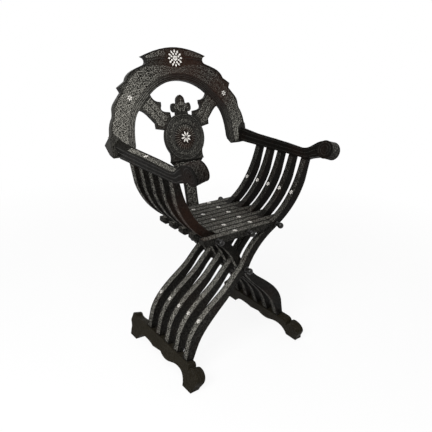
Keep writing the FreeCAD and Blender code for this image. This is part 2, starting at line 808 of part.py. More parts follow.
def make_stile(side):
    """One side of the arch, from the crest's joint down to the arm, notched for its cheek."""
    name = "left_stile" if side < 0 else "right_stile"
    outer = [[back_point(shares) for shares in run] for run in STILE_OUTER_SHARES]
    inner = [[back_point(shares) for shares in run] for run in STILE_INNER_SHARES]
    notch_side = size("back_half_width") - size("cheek_inset")
    notch = [[Vector(size("back_half_width"), cheek_top, 0)], [Vector(notch_side, cheek_top, 0)],
             [Vector(notch_side, cheek_foot, 0)]]
    runs = [mirrored(run, side) for run in outer + notch + inner]
    back_board(name, closed_runs(runs), "sizes.back_thickness")


def make_cheek(side):
    """The beak-shaped block behind an arm, standing in the notch of its stile."""
    name = "left_cheek" if side < 0 else "right_cheek"
    body = new_body(name)
    points = [Vector(share_y * size("cheek_length"), cheek_foot + share_z * size("cheek_height"), 0)
              for share_y, share_z in CHEEK_SHARES]
    pad(body, name + "_block", "YZ_Plane", polygon(points), "sizes.cheek_inset")
    middle = side * (size("back_half_width") - size("cheek_inset") / 2)
    body.Placement = back_frame.multiply(Placement(Vector(middle, 0, 0), no_turn))
    return keep(body, name)


def make_tongue(side):
    """The tongue on the front of a stile, which stands in its arm's slot or lap."""
    width = size("tongue_width")
    inner = tongue_inner(side) if side > 0 else -tongue_inner(side) - width
    box = back_box("left_tongue" if side < 0 else "right_tongue",
                   Vector(inner, -size("tongue_depth"), tongue_seat),
                   "sizes.tongue_width", "sizes.tongue_depth", "sizes.tongue_height")
    return keep(box, box.Name)


medallion_centre = back_point((0, MEDALLION_CENTRE_SHARE))


def circle_point(angle):
    """A point on the medallion's rim, the angle in degrees from the side."""
    turn = math.radians(angle)
    return medallion_point((math.cos(turn), math.sin(turn)))


def medallion_point(shares):
    """A point given by shares of the medallion's radius from its centre."""
    return medallion_centre + Vector(shares[0], shares[1], 0) * size("medallion_radius")


def make_medallion():
    """The round board in the middle of the back, with the neck that carries it."""
    right_foot = circle_point(size("medallion_foot_angle"))
    left_foot = Vector(-right_foot.x, right_foot.y, 0)
    neck = [medallion_point(shares) for shares in MEDALLION_NECK_SHARES]
    edges = [Part.Arc(right_foot, circle_point(size("quarter_turn")), left_foot)]
    edges += run_edges([left_foot] + mirrored(neck, -1)) + run_edges([right_foot] + neck)
    edges += run_edges([mirrored(neck, -1)[-1], neck[-1]])
    board = back_board("medallion_board", edges, "sizes.medallion_thickness")
    boss = Part.Circle(medallion_centre, Vector(0, 0, 1), size("medallion_boss_radius"))
    pad(board, "medallion_boss", "XZ_Plane", [boss], "sizes.medallion_boss_height", side="One side")


def make_splat():
    """The lower splat, which stands under the medallion's neck and reaches below the seat's rear edge."""
    foot = -size("splat_foot_drop")
    top = medallion_point(MEDALLION_NECK_SHARES[-1]).y
    edge = [Vector(reach * size("back_half_width"), foot + rise * (top - foot), 0)
            for reach, rise in SPLAT_SHARES]
    left_edge = mirrored(edge, -1)
    edges = run_edges(edge) + run_edges(left_edge)
    edges += run_edges([left_edge[0], edge[0]]) + run_edges([edge[-1], left_edge[-1]])
    back_board("lower_splat", edges, "sizes.splat_thickness", size("splat_setback"))


def make_bracket(side):
    """A diagonal bracket between the medallion and the arch."""
    name = "left_bracket" if side < 0 else "right_bracket"
    upper = [[back_point(shares) for shares in run] for run in BRACKET_SHARES]
    lower = [[back_point(shares) for shares in run] for run in BRACKET_LOWER_SHARES]
    high = circle_point(size("bracket_top_angle"))
    middle = circle_point((size("bracket_top_angle") + size("bracket_low_angle")) / 2)
    low = circle_point(size("bracket_low_angle"))
    edges = [Part.Arc(*mirrored([high, middle, low], side))]
    edges += joined_runs([mirrored(run, side) for run in upper + [[high]]])
    edges += joined_runs([mirrored(run, side) for run in [[low]] + lower + [upper[0]]])
    back_board(name, edges, "sizes.bracket_thickness")


def make_back_finial():
    """The lobed finial on top of the medallion."""
    right = [[medallion_point(shares) for shares in run] for run in FINIAL_SHARES]
    foot_right = circle_point(size("finial_foot_angle"))
    foot_left = Vector(-foot_right.x, foot_right.y, 0)
    edges = [Part.Arc(foot_right, circle_point(size("quarter_turn")), foot_left)]
    for side in (1, -1):
        runs = [[foot_right]] + right
        edges += joined_runs([mirrored(run, side) for run in runs])
        edges += run_edges(mirrored(right[-1], side))
    back_board("back_finial", edges, "sizes.bracket_thickness")


def make_back_inlays():
    """The kite rosette of the crest, a star on each stile and the star on the medallion's boss."""
    count = int(size("rosette_kites"))
    reach = size("rosette_reach")
    half = size("rosette_kite_width") / 2
    centre = Placement(Vector(0, 0, back_point((0, CREST_STAR_SHARE)).y), face_turn)
    for index in range(count):
        kite = polygon([Vector(0, reach * share, 0) if width == 0 else
                        Vector(width * half, reach * share, 0) for width, share in KITE_SHARES])
        turn = Placement(Vector(), Rotation(Vector(0, 0, 1), 4 * size("quarter_turn") * index / count))
        place = back_frame.multiply(centre).multiply(turn)
        inlay("back_inlays", f"crest_kite{index + 1}", place, kite, 0)
    for side, word in ((-1, "left"), (1, "right")):
        spot = back_point(STILE_STAR_SHARES)
        frame = Placement(Vector(side * spot.x, 0, spot.y), face_turn)
        inlay("back_inlays", f"{word}_stile_star", back_frame.multiply(frame), small_star(), 0)
    radius = size("medallion_star_radius")
    star = star_outline(radius, radius * STAR_WAIST_SHARE, int(size("medallion_star_points")))
    face = Placement(Vector(0, -size("medallion_boss_height"), medallion_centre.y), face_turn)
    inlay("back_inlays", "medallion_star", back_frame.multiply(face), star, 0)


def group_inlays():
    """One group of separate inlays for each moving part of the chair."""
    for name, members in inlay_groups.items():
        grouped(name, members)


def check_and_write():
    """Stop on a failed object or a bad shape, then write one file for each piece."""
    doc.recompute()
    for item in doc.Objects:
        if "Invalid" in item.State or "Error" in item.State:
            raise RuntimeError(f"{item.Name} failed: {item.State}")
    for piece in parts:
        if piece.Shape.isNull() or not piece.Shape.isValid():
            raise RuntimeError(f"{piece.Label} has no valid shape")
    os.makedirs("parts", exist_ok=True)
    for piece in parts:
        piece.Shape.exportStep(f"parts/{piece.Label}.step")
    print(len(parts), "pieces written")


make_ribs()
make_slats()
make_rods()
for side in (-1, 1):
    foot(side)
    arm(side)
    make_stile(side)
    make_cheek(side)
    make_tongue(side)
    make_bracket(side)
make_crest()
make_medallion()
make_splat()
make_back_finial()
make_back_inlays()
group_inlays()
check_and_write()
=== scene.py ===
import math

import bpy
from bpy.props import FloatProperty, FloatVectorProperty, PointerProperty
from mathutils import Matrix, Vector


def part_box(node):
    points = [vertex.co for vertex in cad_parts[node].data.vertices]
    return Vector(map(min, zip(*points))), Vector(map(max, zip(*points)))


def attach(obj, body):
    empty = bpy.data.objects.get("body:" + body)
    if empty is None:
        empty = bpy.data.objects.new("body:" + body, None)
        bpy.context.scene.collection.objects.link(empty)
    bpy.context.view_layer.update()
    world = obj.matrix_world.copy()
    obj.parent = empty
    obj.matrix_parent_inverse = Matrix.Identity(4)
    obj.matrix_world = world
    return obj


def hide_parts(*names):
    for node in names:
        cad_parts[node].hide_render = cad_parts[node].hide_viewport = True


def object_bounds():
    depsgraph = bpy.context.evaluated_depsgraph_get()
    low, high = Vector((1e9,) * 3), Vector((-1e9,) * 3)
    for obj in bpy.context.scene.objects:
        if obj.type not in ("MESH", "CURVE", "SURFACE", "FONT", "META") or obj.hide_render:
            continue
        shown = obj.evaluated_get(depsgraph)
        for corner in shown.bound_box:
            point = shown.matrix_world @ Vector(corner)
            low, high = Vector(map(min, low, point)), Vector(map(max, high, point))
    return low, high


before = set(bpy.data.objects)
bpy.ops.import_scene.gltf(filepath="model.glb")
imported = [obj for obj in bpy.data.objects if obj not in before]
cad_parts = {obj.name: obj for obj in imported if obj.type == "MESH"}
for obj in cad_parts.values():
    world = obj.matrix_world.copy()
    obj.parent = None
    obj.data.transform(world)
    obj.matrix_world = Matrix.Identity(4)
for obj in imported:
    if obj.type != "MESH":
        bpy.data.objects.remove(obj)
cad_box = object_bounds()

bl_info = {
    "name": "Savonarola Chair",
    "version": (1, 0, 0),
    "blender": (4, 5, 0),
    "location": "View3D > Sidebar > Chair",
    "description": "Carved, inlaid and turned pieces of a folding savonarola chair",
    "category": "Object",
}

MM = 0.001
MERGE = 0.02 * MM
RIBS = 5
SIDES = (("left", -1), ("right", 1))
STACK_Y = (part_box("rib_a1")[0].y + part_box("rib_b5")[1].y) / 2
ARM_LEAN = math.radians(15)
FOOT_LEAN = math.radians(15.6)
BACK_LEAN = math.radians(14.39)
RIB_WIDTH = 25.4 * MM
ARM_WIDTH = 28 * MM
FOOT_WIDTH = 32 * MM

# Rods
PIVOT_Z = 348 * MM
SEAT_ROD_X = 127.8 * MM
SEAT_ROD_Z = 483 * MM
ROD_END_Y = 141.4 * MM
# Space between a knob and the rib that turns beside it, in millimetres
KNOB_GAP = 0.3

# Collar and waist of a ball knob and rings of a cap: height along the rod and radius, in millimetres
BALL_COLLAR = (
    (0, 8.4), (0.8, 8.9), (2.2, 8.9), (3.0, 8.0), (3.6, 6.2), (5.4, 5.4), (7.6, 5.2), (9.4, 5.8), (10.2, 7.1),
    (11.0, 7.1), (11.8, 5.9),
)
BALL_MIDDLE = 21.3
BALL_REACH = 10.4
BALL_TIP = 1.2
CAP_RINGS = ((0, 7.8), (1.2, 8.1), (2.6, 7.6), (4.2, 5.4), (5.2, 2.8), (5.5, 0.8))

# Where the leaning pieces stand
BACK_FOOT = Vector((0, STACK_Y + 157.7 * MM, SEAT_ROD_Z))
ARM_FOOT = Vector((260.5 * MM, STACK_Y, 690.4 * MM))
FOOT_GROUND = Vector((243 * MM, STACK_Y, 0))
BACK_OUT = Vector((0, -math.cos(BACK_LEAN), math.sin(BACK_LEAN)))
BACK_UP = Vector((0, math.sin(BACK_LEAN), math.cos(BACK_LEAN)))

# Carving of ribs, slats and arms: plain ends, the space beside a stem and the least length that is carved
RIB_END = 5 * MM
SLAT_END = 6 * MM
ARM_END = 6 * MM
STEM_GAP = 0.6 * MM
SHORT_STRIP = 150 * MM
LONG_STRIP = 200 * MM
SLAT_TOP_AREA = 1000 * MM * MM
BOARD_FRONT_AREA = 900 * MM * MM
JOINT_MERGE = 0.1 * MM
SIDE_TRIM = 0.5 * MM

# A running scroll: shares of a bend where its stem has points, shift and thickness of a bud's points,
# lean and reach of each leaf, and place and thickness of the points of the spur between two bends
STEM_SHARES = (0, 0.17, 0.34, 0.5, 0.66, 0.83, 1)
BUD_POINTS = ((-0.1, 0.4), (0, 1.5), (0.1, 0.4))
LEAVES = ((0.75, 1.5), (2.4, 1.5), (1.57, 1.42))
SPUR_POINTS = ((0.04, 0.93, 0.4), (-0.10, 0.72, 1.3), (-0.02, 0.42, 0.35))
# How deep the stems and lines lie, as shares of the depth of the ground
RIB_SINK = 0.85
BOARD_SINK = 0.65
FINE_SINK = 0.75
LINE_SINK = 0.8

# Medallion: its centre up the slope, its boss, petals, rings and ring of scrolls
MEDALLION_SLOPE = 252.9 * MM
MEDALLION_AREA = 3000 * MM * MM
MEDALLION_BORDER = 2.2 * MM
MEDALLION_ROUNDING = 0.8 * MM
BOSS_REACH = 24 * MM
PETAL_RUN = 21 * MM
PETAL_TOP = 1.6 * MM
PETAL_DROP = 3.6 * MM
PETALS = 28
# Reach and half thickness of a petal along its length, in millimetres
PETAL_POINTS = ((24.5, 1.6), (31, 2.2), (39, 2.0), (45, 1.2))
# Reach in millimetres and share of the moulding's thickness
MEDALLION_RINGS = ((79.5, 1.2), (73.5, 0.85), (68.5, 0.6), (50.5, 0.9), (46, 0.5))
RING_REACH = 59.5 * MM
RING_HALF = 6.5 * MM
RING_PITCH = 22 * MM

# Other boards of the back
SPLAT_SETBACK = 6 * MM
FINIAL_BORDER = 2.2 * MM
# Curls of the back's finial, right side: across and up the back, reach and first turn, and its middle bud
FINIAL_CURLS = ((22, 361, 10, 1.2), (8, 352, 6.5, 4), (7, 372, 6, 2))
FINIAL_BUD = ((366, 0.5), (380, 1.6), (394, 0.5))
CHEEK_ROUNDING = 3 * MM
TONGUE_ROUNDING = 0.6 * MM

# Inner and outer edges of the arch's carved band, right half, in millimetres across and up the back
ARCH_STATIONS = [
    ((231, 216), (252, 216)), ((229, 238), (253, 238)), ((227, 262), (253, 264)), ((225, 286), (278, 292)),
    ((219, 313), (274, 322)), ((209, 344), (262, 352)), ((189, 376), (247, 388)), ((164, 402), (222, 416)),
    ((138, 427), (200, 446)), ((108, 447), (176, 474)), ((74, 463), (128, 500)), ((38, 474), (62, 506)),
    ((0, 478), (0, 497)),
]
# Inner edge of the arch, right half, for the mouldings that follow it
ARCH_EDGE = [
    (207, 213), (205, 226), (203, 240), (202, 260), (199.7, 284.6), (194.8, 311), (185, 338), (169, 360),
    (146, 385), (121, 408), (97, 426), (70, 440), (36, 450), (0, 454),
]
# Mouldings along that edge: distance from it in millimetres and share of the moulding's thickness
ARCH_MOULDINGS = ((3.2, 0.9), (9.4, 1.15), (15.6, 1.0), (21.2, 0.6))
# The ledge under the crest's cap, left half
CAP_LEDGE = ((-117, 520), (-96, 524), (-70, 527), (-42, 528))
# The joint between the crest and a stile
ARCH_JOINT = ((120.9, 408.1), (205, 457.4))
# Lower and upper edge of the crest's cap, right half
CAP_STATIONS = [
    ((112, 528), (118, 534)), ((90, 531), (98, 545)), ((64, 535), (68, 554)), ((40, 537), (40, 558)),
]
# Upper and lower edge of a bracket, right side
BRACKET_STATIONS = [
    ((120, 399), (158, 364)), ((106, 381), (138, 348)), ((92, 363), (122, 328)), ((76, 344), (107, 304)),
    ((60, 331), (90, 290)),
]
# Left and right edge of the lower splat
SPLAT_STATIONS = [
    ((-21, -4), (21, -4)), ((-21, 50), (21, 50)), ((-24, 100), (24, 100)), ((-60, 164), (60, 164)),
]
# Top and bottom edge of an arm rail, from the back to the scroll
ARM_TOP = [
    (200, 49), (162, 44.5), (51, 39.9), (-60.8, 35.3), (-108, 33.1), (-137, 38.8), (-160.6, 55), (-178, 66),
]
ARM_BOTTOM = [(200, 0), (162, 0), (51, 0), (-60.8, 0), (-108, 0), (-137, 0), (-160.6, 9), (-180, 15)]
ARM_MOULDING_SHARES = (0.16, 0.50, 0.84)
ARM_LINE_SINK = 1.1 * MM
ARM_ROUNDING = 1.6 * MM

# Scroll of an arm: its roll, the spiral and button on its ends and the leaves round it
SCROLL_CENTRE = (-217, 45)
SCROLL_RADIUS = 30 * MM
SCROLL_WIDTH = 42 * MM
SPIRAL_REACH = 26 * MM
SPIRAL_HALF = 2.1 * MM
SPIRAL_SINK = 1.2 * MM
BUTTON_HALF = 3.4 * MM
BUTTON_LENGTH = 0.2 * MM
ROLL_START = math.radians(76)
ROLL_ARC = math.radians(205)
ROLL_TOLERANCE = 1.5 * MM
ROLL_BORDER = 2 * MM
ROLL_DEPTH = 2.6 * MM
ROLL_MARGINS = 5 * MM
LEAF_PITCH = 24 * MM
LEAF_SINK = 2 * MM

# Volute of a foot
VOLUTE_CENTRE = (-189, 49)
VOLUTE_REACH = 21 * MM
VOLUTE_HALF = 2 * MM
VOLUTE_SINK = 0.9 * MM
FOOT_ROUNDING = 3 * MM

# Inlay
STAR_THICKNESS = 1.4 * MM
STAR_SINK = 0.4 * MM
KITE_THICKNESS = 0.5 * MM
INLAY_HEIGHT = 0.2 * MM
ROSETTE_UP = 529 * MM
STILE_STAR = (200 * MM, 400.7 * MM)
STILE_STAR_SHARE = 1.35
MEDALLION_STAR = 22 * MM
BOSS_HEIGHT = 4.1 * MM
# Rings of kites of the crest's rosette: reach, kites, inner share, waist share and turn
ROSETTE_RINGS = (
    (11.0 * MM, 8, 0.16, 0.70, 0.0),
    (20.5 * MM, 8, 0.52, 1.00, 0.5),
    (30.0 * MM, 12, 0.62, 1.30, 0.0),
)

# Stage: each lamp's name, place, power and size, and the camera's turn, tilt and roll in degrees
LAMPS = (
    ("key_lamp", (-1.7, -0.8, 1.6), 32, 0.9),
    ("top_lamp", (-0.9, -1.1, 3.0), 32, 1.4),
    ("fill_lamp", (2.4, -1.6, 1.6), 8, 2.0),
    ("rim_lamp", (0.6, 2.4, 2.4), 12, 1.6),
)
LAMP_AIM = Vector((0, 0, 0.55))
CAMERA_PLACE = (-0.94343, STACK_Y - 1.15431, 1.06329)
CAMERA_ANGLES = (38.605, 20.987, 1.961)
CAMERA_LENS = 38.44
CAMERA_SENSOR = 36
FLOOR_SIZE = 40
SHADOW_REACH = 2.2
SHADOW_SHARE = 0.10
ROOM_LIGHT = 0.28

# Finishes: depths of the bump, scales of the grain and cells of the punched ground for a metre
GRAIN_DEPTH = 0.35 * MM
PUNCH_DEPTH = 0.8 * MM
SAW_DEPTH = 0.1 * MM
BOARD_GRAIN = (14, 60, 60)
ARM_GRAIN = (60, 10, 60)
RIB_GRAIN = (20, 70, 20)
SLAT_GRAIN = (12, 70, 70)
FOOT_GRAIN = (60, 12, 60)
CARVED_PUNCH = 210
FOOT_PUNCH = 180
# Where the black is worn to red brown: centre and reach
WORN_PLACES = (
    ((0.03, 0.247, 0.96), 0.16),
    ((0.18, 0.235, 0.88), 0.10),
    ((-0.20, -0.17, 0.56), 0.14),
    ((0, 0.177, 0.725), 0.055),
    ((-0.25, -0.24, 0.73), 0.06),
)
# Painted light and shade on the grey of the carving about a place: its centre, its reach and its level, where
# one is plain; above one the grey is brightened as a painted highlight, below one it is dimmed as painted
# shade
PAINTED_LIGHT_LEVELS = (
    ((-0.25, 0.19, 0.80), 0.20, 2.3),
    ((-0.27, -0.25, 0.73), 0.07, 0.3),
    ((0.02, 0.24, 0.97), 0.14, 0.75),
    ((0.17, 0.22, 0.93), 0.17, 0.6),
    ((0.25, -0.04, 0.60), 0.26, 0.25),
    ((0, 0.177, 0.725), 0.09, 0.7),
    ((-0.13, -0.10, 0.24), 0.24, 2.1),
)


class ChairSizes(bpy.types.PropertyGroup):
    """Sizes of the carving, the inlay and the edges."""
    edge_rounding: FloatProperty(
        name="Edge rounding", description="Width of the worn edge of the wood", default=1.3 * MM,
        unit="LENGTH")
    rib_border: FloatProperty(
        name="Rib border", description="Plain border beside the carving of a rib", default=2.4 * MM,
        unit="LENGTH")
    rib_depth: FloatProperty(
        name="Rib ground", description="Depth of the carved ground of ribs and slats", default=1.1 * MM,
        unit="LENGTH")
    board_border: FloatProperty(
        name="Board border", description="Plain border of a board of the back", default=3.4 * MM,
        unit="LENGTH")
    board_depth: FloatProperty(
        name="Board ground", description="Depth of the carved ground of the back", default=1.5 * MM,
        unit="LENGTH")
    vine: FloatProperty(
        name="Vine", description="Half thickness of a carved stem", default=1.3 * MM, unit="LENGTH")
    vine_pitch: FloatProperty(
        name="Vine pitch", description="Length of one full wave of a carved stem", default=33 * MM,
        unit="LENGTH")
    moulding: FloatProperty(
        name="Moulding", description="Half thickness of a raised moulding", default=2.3 * MM, unit="LENGTH")
    star: FloatProperty(
        name="Small star", description="Radius of a small inlaid star", default=7.8 * MM, unit="LENGTH")


class ChairColours(bpy.types.PropertyGroup):
    """Colours of the finishes."""
    ebony: FloatVectorProperty(
        name="Ebony", description="Blackened wood", default=(0.0026, 0.0022, 0.0017, 1), size=4,
        subtype="COLOR")
    warm: FloatVectorProperty(
        name="Worn brown", description="Brown wood where the black has worn off",
        default=(0.030, 0.013, 0.008, 1), size=4, subtype="COLOR")
    # Grey of the dust on the carving, which is also the colour of the painted highlight on upward faces and
    # of the painted light about some places
    dust_and_highlight: FloatVectorProperty(
        name="Dust", description="Grey of the dusty tops of the carving", default=(0.31, 0.30, 0.265, 1),
        size=4, subtype="COLOR")
    foot_brown: FloatVectorProperty(
        name="Foot brown", description="Dull brown of the feet", default=(0.013, 0.0105, 0.0058, 1), size=4,
        subtype="COLOR")
    pearl: FloatVectorProperty(
        name="Pearl", description="White of the inlay", default=(0.95, 0.91, 0.85, 1), size=4,
        subtype="COLOR")
    paper: FloatVectorProperty(
        name="Backdrop", description="White of the floor and backdrop", default=(0.95, 0.95, 0.95, 1), size=4,
        subtype="COLOR")


# Selecting and finishing
def activate(*pieces):
    """Select only these pieces, the first one active."""
    bpy.ops.object.select_all(action="DESELECT")
    for piece in pieces:
        piece.select_set(True)
    bpy.context.view_layer.objects.active = pieces[0]


def edit_mode():
    """Start editing the active piece with nothing selected, face by face."""
    bpy.ops.object.mode_set(mode="EDIT")
    bpy.ops.mesh.select_mode(type="FACE")
    bpy.ops.mesh.select_all(action="DESELECT")


def object_mode():
    """Leave edit mode."""
    bpy.ops.object.mode_set(mode="OBJECT")


def apply_modifier(piece, kind, **settings):
    """Add one modifier to a piece, set it and apply it."""
    activate(piece)
    bpy.ops.object.modifier_add(type=kind)
    modifier = piece.modifiers[-1]
    for key, value in settings.items():
        setattr(modifier, key, value)
    bpy.ops.object.modifier_apply(modifier=modifier.name)


def place_in_mesh(piece):
    """Put a piece's place, turn and size into its mesh."""
    activate(piece)
    bpy.ops.object.transform_apply(location=True, rotation=True, scale=True)


def paint(piece, *materials):
    """Give a piece these materials, in order, in place of what it has."""
    piece.data.materials.clear()
    for material in materials:
        piece.data.materials.append(material)


def round_edges(piece, width, angle=30):
    """Round a piece's sharp edges and shade its curves smooth."""
    apply_modifier(piece, "BEVEL", width=width, segments=2, limit_method="ANGLE",
                   angle_limit=math.radians(angle), use_clamp_overlap=True)
    activate(piece)
    bpy.ops.object.shade_smooth_by_angle(angle=math.radians(angle))
    apply_modifier(piece, "WEIGHTED_NORMAL", keep_sharp=True)


def wood_from(node):
    """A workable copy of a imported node: merged, with its flat faces whole."""
    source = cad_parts[node]
    piece = bpy.data.objects.new(node + "_carved", source.data.copy())
    bpy.context.scene.collection.objects.link(piece)
    activate(piece)
    bpy.ops.mesh.customdata_custom_splitnormals_clear()
    edit_mode()
    bpy.ops.mesh.select_all(action="SELECT")
    bpy.ops.mesh.remove_doubles(threshold=MERGE)
    bpy.ops.mesh.dissolve_limited(angle_limit=math.radians(0.3))
    object_mode()
    return piece


def join(piece, others):
    """Join other pieces into one."""
    others = [other for other in others if other]
    if others:
        activate(piece, *others)
        bpy.ops.object.join()
    return piece


def finished(piece, nodes, body):
    """Place a finished piece on its body, in place of its nodes."""
    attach(piece, body)
    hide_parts(*nodes)
    return piece


def recess(piece, picked, border, depth, finish=1):
    """Sink the picked faces inside a border and give them one of the piece's materials."""
    activate(piece)
    edit_mode()
    object_mode()
    for face in piece.data.polygons:
        face.select = face.index in picked
    bpy.ops.object.mode_set(mode="EDIT")
    bpy.ops.mesh.inset(thickness=border, use_even_offset=True)
    bpy.ops.mesh.inset(thickness=depth / 2, depth=-depth, use_even_offset=True)
    piece.active_material_index = finish
    bpy.ops.object.material_slot_assign()
    object_mode()


# Paths and surfaces
def smooth_at(points, share):
    """The point at a share of the way along a smooth line through points of any size."""
    last = len(points) - 1
    where = min(max(share, 0), 1) * last
    start = min(int(where), last - 1)
    t = where - start
    before, here, there, after = (points[min(max(start + step, 0), last)] for step in (-1, 0, 1, 2))
    return tuple(
        0.5 * (2 * b + (c - a) * t + (2 * a - 5 * b + 4 * c - d) * t * t + (3 * b - a - 3 * c + d) * t ** 3)
        for a, b, c, d in zip(before, here, there, after))


def back_place(across, up, height):
    """A place on the back: across and up its front plane, and the height above that plane."""
    return BACK_FOOT + Vector((across, 0, 0)) + BACK_UP * up + BACK_OUT * height


def arm_place(side, across, along, up):
    """A place in an arm's own frame, which leans outwards."""
    turn = Matrix.Rotation(side * ARM_LEAN, 3, "Y")
    foot = Vector((side * ARM_FOOT.x, ARM_FOOT.y, ARM_FOOT.z))
    return foot + turn @ Vector((across, along, up))


def foot_place(side, across, along, up):
    """A place in a foot's own frame, which leans inwards."""
    turn = Matrix.Rotation(-side * FOOT_LEAN, 3, "Y")
    foot = Vector((side * FOOT_GROUND.x, FOOT_GROUND.y, 0))
    return foot + turn @ Vector((across, along, up))


def strip_chains(piece, axis, width):
    """Runs of neighbouring faces as wide as the piece: for each the face numbers, cross lines and normals."""
    mesh = piece.data
    rungs = {}
    for face in mesh.polygons:
        if len(face.vertices) != 4 or abs(face.normal.dot(axis)) > 0.1:
            continue
        places = [mesh.vertices[number].co for number in face.vertices]
        reach = [place.dot(axis) for place in places]
        if max(reach) - min(reach) < 0.96 * width:
            continue
        ends = set()
        for edge in face.edge_keys:
            first, second = (mesh.vertices[number].co for number in edge)
            if abs((first - second).dot(axis)) > 0.9 * width:
                ends.add(tuple(sorted(edge)))
        if len(ends) == 2:
            for end in ends:
                rungs.setdefault(end, []).append((face.index, ends))
    used = set()
    chains = []
    starts = [end for end, faces in rungs.items() if len(faces) == 1]
    for start in starts:
        if start in used:
            continue
        chain = [start]
        faces = []
        used.add(start)
        end = start
        while True:
            onward = [(number, ends) for number, ends in rungs[end] if number not in faces]
            if not onward:
                break
            number, ends = onward[0]
            faces.append(number)
            end = next(other for other in ends if other != end)
            chain.append(end)
            used.add(end)
        places = [(mesh.vertices[a].co + mesh.vertices[b].co) / 2 for a, b in chain]
        normals = [mesh.polygons[number].normal.copy() for number in faces]
        chains.append((faces, places, normals))
    return chains


def ribbon(places, normals, axis):
    """The length of a chain and a function that places (along, across, height) on it."""
    reaches = [0]
    for first, second in zip(places, places[1:]):
        reaches.append(reaches[-1] + (second - first).length)
    outs = []
    for index in range(len(places)):
        near = normals[max(index - 1, 0)] + normals[min(index, len(normals) - 1)]
        outs.append(near.normalized())

    def place(along, across, height):
        index = 0
        while index < len(reaches) - 2 and reaches[index + 1] < along:
            index += 1
        share = (along - reaches[index]) / (reaches[index + 1] - reaches[index])
        base = places[index].lerp(places[index + 1], share)
        out = outs[index].lerp(outs[index + 1], min(max(share, 0), 1)).normalized()
        return base + axis * across + out * height

    return reaches[-1], place


def band(stations, surface, samples=60):
    """Mean length and half width of a band between two smooth edges, and a function that places on it."""
    inner = [station[0] for station in stations]
    outer = [station[1] for station in stations]
    middles = []
    for index in range(samples + 1):
        low = Vector(smooth_at(inner, index / samples))
        high = Vector(smooth_at(outer, index / samples))
        middles.append(((low + high) / 2, (high - low).length / 2))
    reaches = [0]
    for first, second in zip(middles, middles[1:]):
        reaches.append(reaches[-1] + (second[0] - first[0]).length)
    half = sum(width for _, width in middles) / len(middles) * MM

    def place(along, across, height):
        index = 0
        while index < samples - 1 and reaches[index + 1] * MM < along:
            index += 1
        step = (along / MM - reaches[index]) / (reaches[index + 1] - reaches[index])
        share = (index + step) / samples
        low = Vector(smooth_at(inner, share))
        high = Vector(smooth_at(outer, share))
        spot = (low + high) / 2 + (high - low) / 2 * (across / half)
        return surface(spot.x * MM, spot.y * MM, height)

    return reaches[-1] * MM, half, place


# Carving
def curl_stroke(hub, reach, side, thick):
    """A curl that winds inwards round the hub of a bend."""
    curl = []
    for number in range(13):
        turn = 0.52 * number
        shrink = 1 - 0.066 * number
        angle = math.pi - side * (0.5 - turn)
        curl.append((hub[0] + reach * shrink * math.cos(angle),
                     hub[1] + side * reach * shrink * math.sin(angle), thick * (0.95 - 0.03 * number)))
    return curl


def leaf_stroke(hub, root, tip, angle, thick):
    """A pointed leaf that grows outwards from a curl."""
    return [(hub[0] + far * math.cos(angle + bend), hub[1] + far * math.sin(angle + bend), wide * thick)
            for far, bend, wide in ((root, 0, 0.5), ((root + tip) / 2, 0.12, 1.25), (tip, 0, 0.25))]


def scroll_strokes(length, half_width, pitch, thick, centre=0, phase=0, start=0):
    """A running scroll along a band: its waving stem, a curl in each bend, leaves and buds."""
    count = max(2, round(2 * length / pitch))
    step = length / count
    reach = min(0.47 * step, 0.64 * half_width)
    edge = 0.98 * half_width
    strokes = []
    for index in range(count):
        side = 1 if (index + phase) % 2 == 0 else -1
        left = start + index * step
        hub = (left + step / 2, centre - side * 0.26 * half_width)
        stem = [(left + step * share, centre + side * 0.80 * half_width * math.sin(math.pi * share), thick)
                for share in STEM_SHARES]
        bud = [(hub[0] + shift * reach, hub[1], wide * thick) for shift, wide in BUD_POINTS]
        strokes += [stem, curl_stroke(hub, reach, side, thick), bud]
        for lean, far in LEAVES:
            angle = -side * lean
            tip = far * reach
            if abs(hub[1] - centre + tip * math.sin(angle)) > edge:
                tip = (edge - abs(hub[1] - centre)) / max(abs(math.sin(angle)), 0.2)
            strokes.append(leaf_stroke(hub, 1.08 * reach, tip, angle, thick))
        strokes.append([(left + ahead * step, centre + side * 0.96 * half_width * out, wide * thick)
                        for ahead, out, wide in SPUR_POINTS])
    return strokes


def carved(name, strokes, place, height, resolution=1):
    """Carved stems: one rounded line for each stroke, laid on a surface at a height."""
    bpy.ops.object.select_all(action="DESELECT")
    bpy.ops.curve.primitive_bezier_curve_add()
    piece = bpy.context.object
    piece.name = name
    curve = piece.data
    curve.splines.clear()
    curve.dimensions = "3D"
    curve.bevel_depth = 1
    curve.bevel_resolution = resolution
    curve.use_fill_caps = True
    for stroke in strokes:
        line = curve.splines.new("POLY")
        line.points.add(len(stroke) - 1)
        for point, (along, across, thick) in zip(line.points, stroke):
            point.co = (*place(along, across, height), 1)
            point.radius = thick
    bpy.ops.object.convert(target="MESH")
    piece = bpy.context.object
    bpy.ops.object.shade_smooth()
    return piece


def closed(points):
    """A stroke that ends where it starts."""
    return points + points[:1]


def ring_stroke(reach, thick, count=48):
    """A round stroke about the origin."""
    turns = [2 * math.pi * index / count for index in range(count)]
    return closed([(reach * math.cos(turn), reach * math.sin(turn), thick) for turn in turns])


def spiral_stroke(reach, end_share, turns, thick, start=0, hand=1, count=30):
    """A stroke that winds inwards."""
    stroke = []
    for index in range(count + 1):
        share = index / count
        angle = start + hand * 2 * math.pi * turns * share
        radius = reach * (1 - (1 - end_share) * share)
        stroke.append((radius * math.cos(angle), radius * math.sin(angle), thick * (1 - 0.35 * share)))
    return stroke


# Materials
def node_of(tree, kind, **inputs):
    """A new shader node with some of its inputs set."""
    node = tree.nodes.new(kind)
    for key, value in inputs.items():
        node.inputs[key.replace("_", " ")].default_value = value
    return node


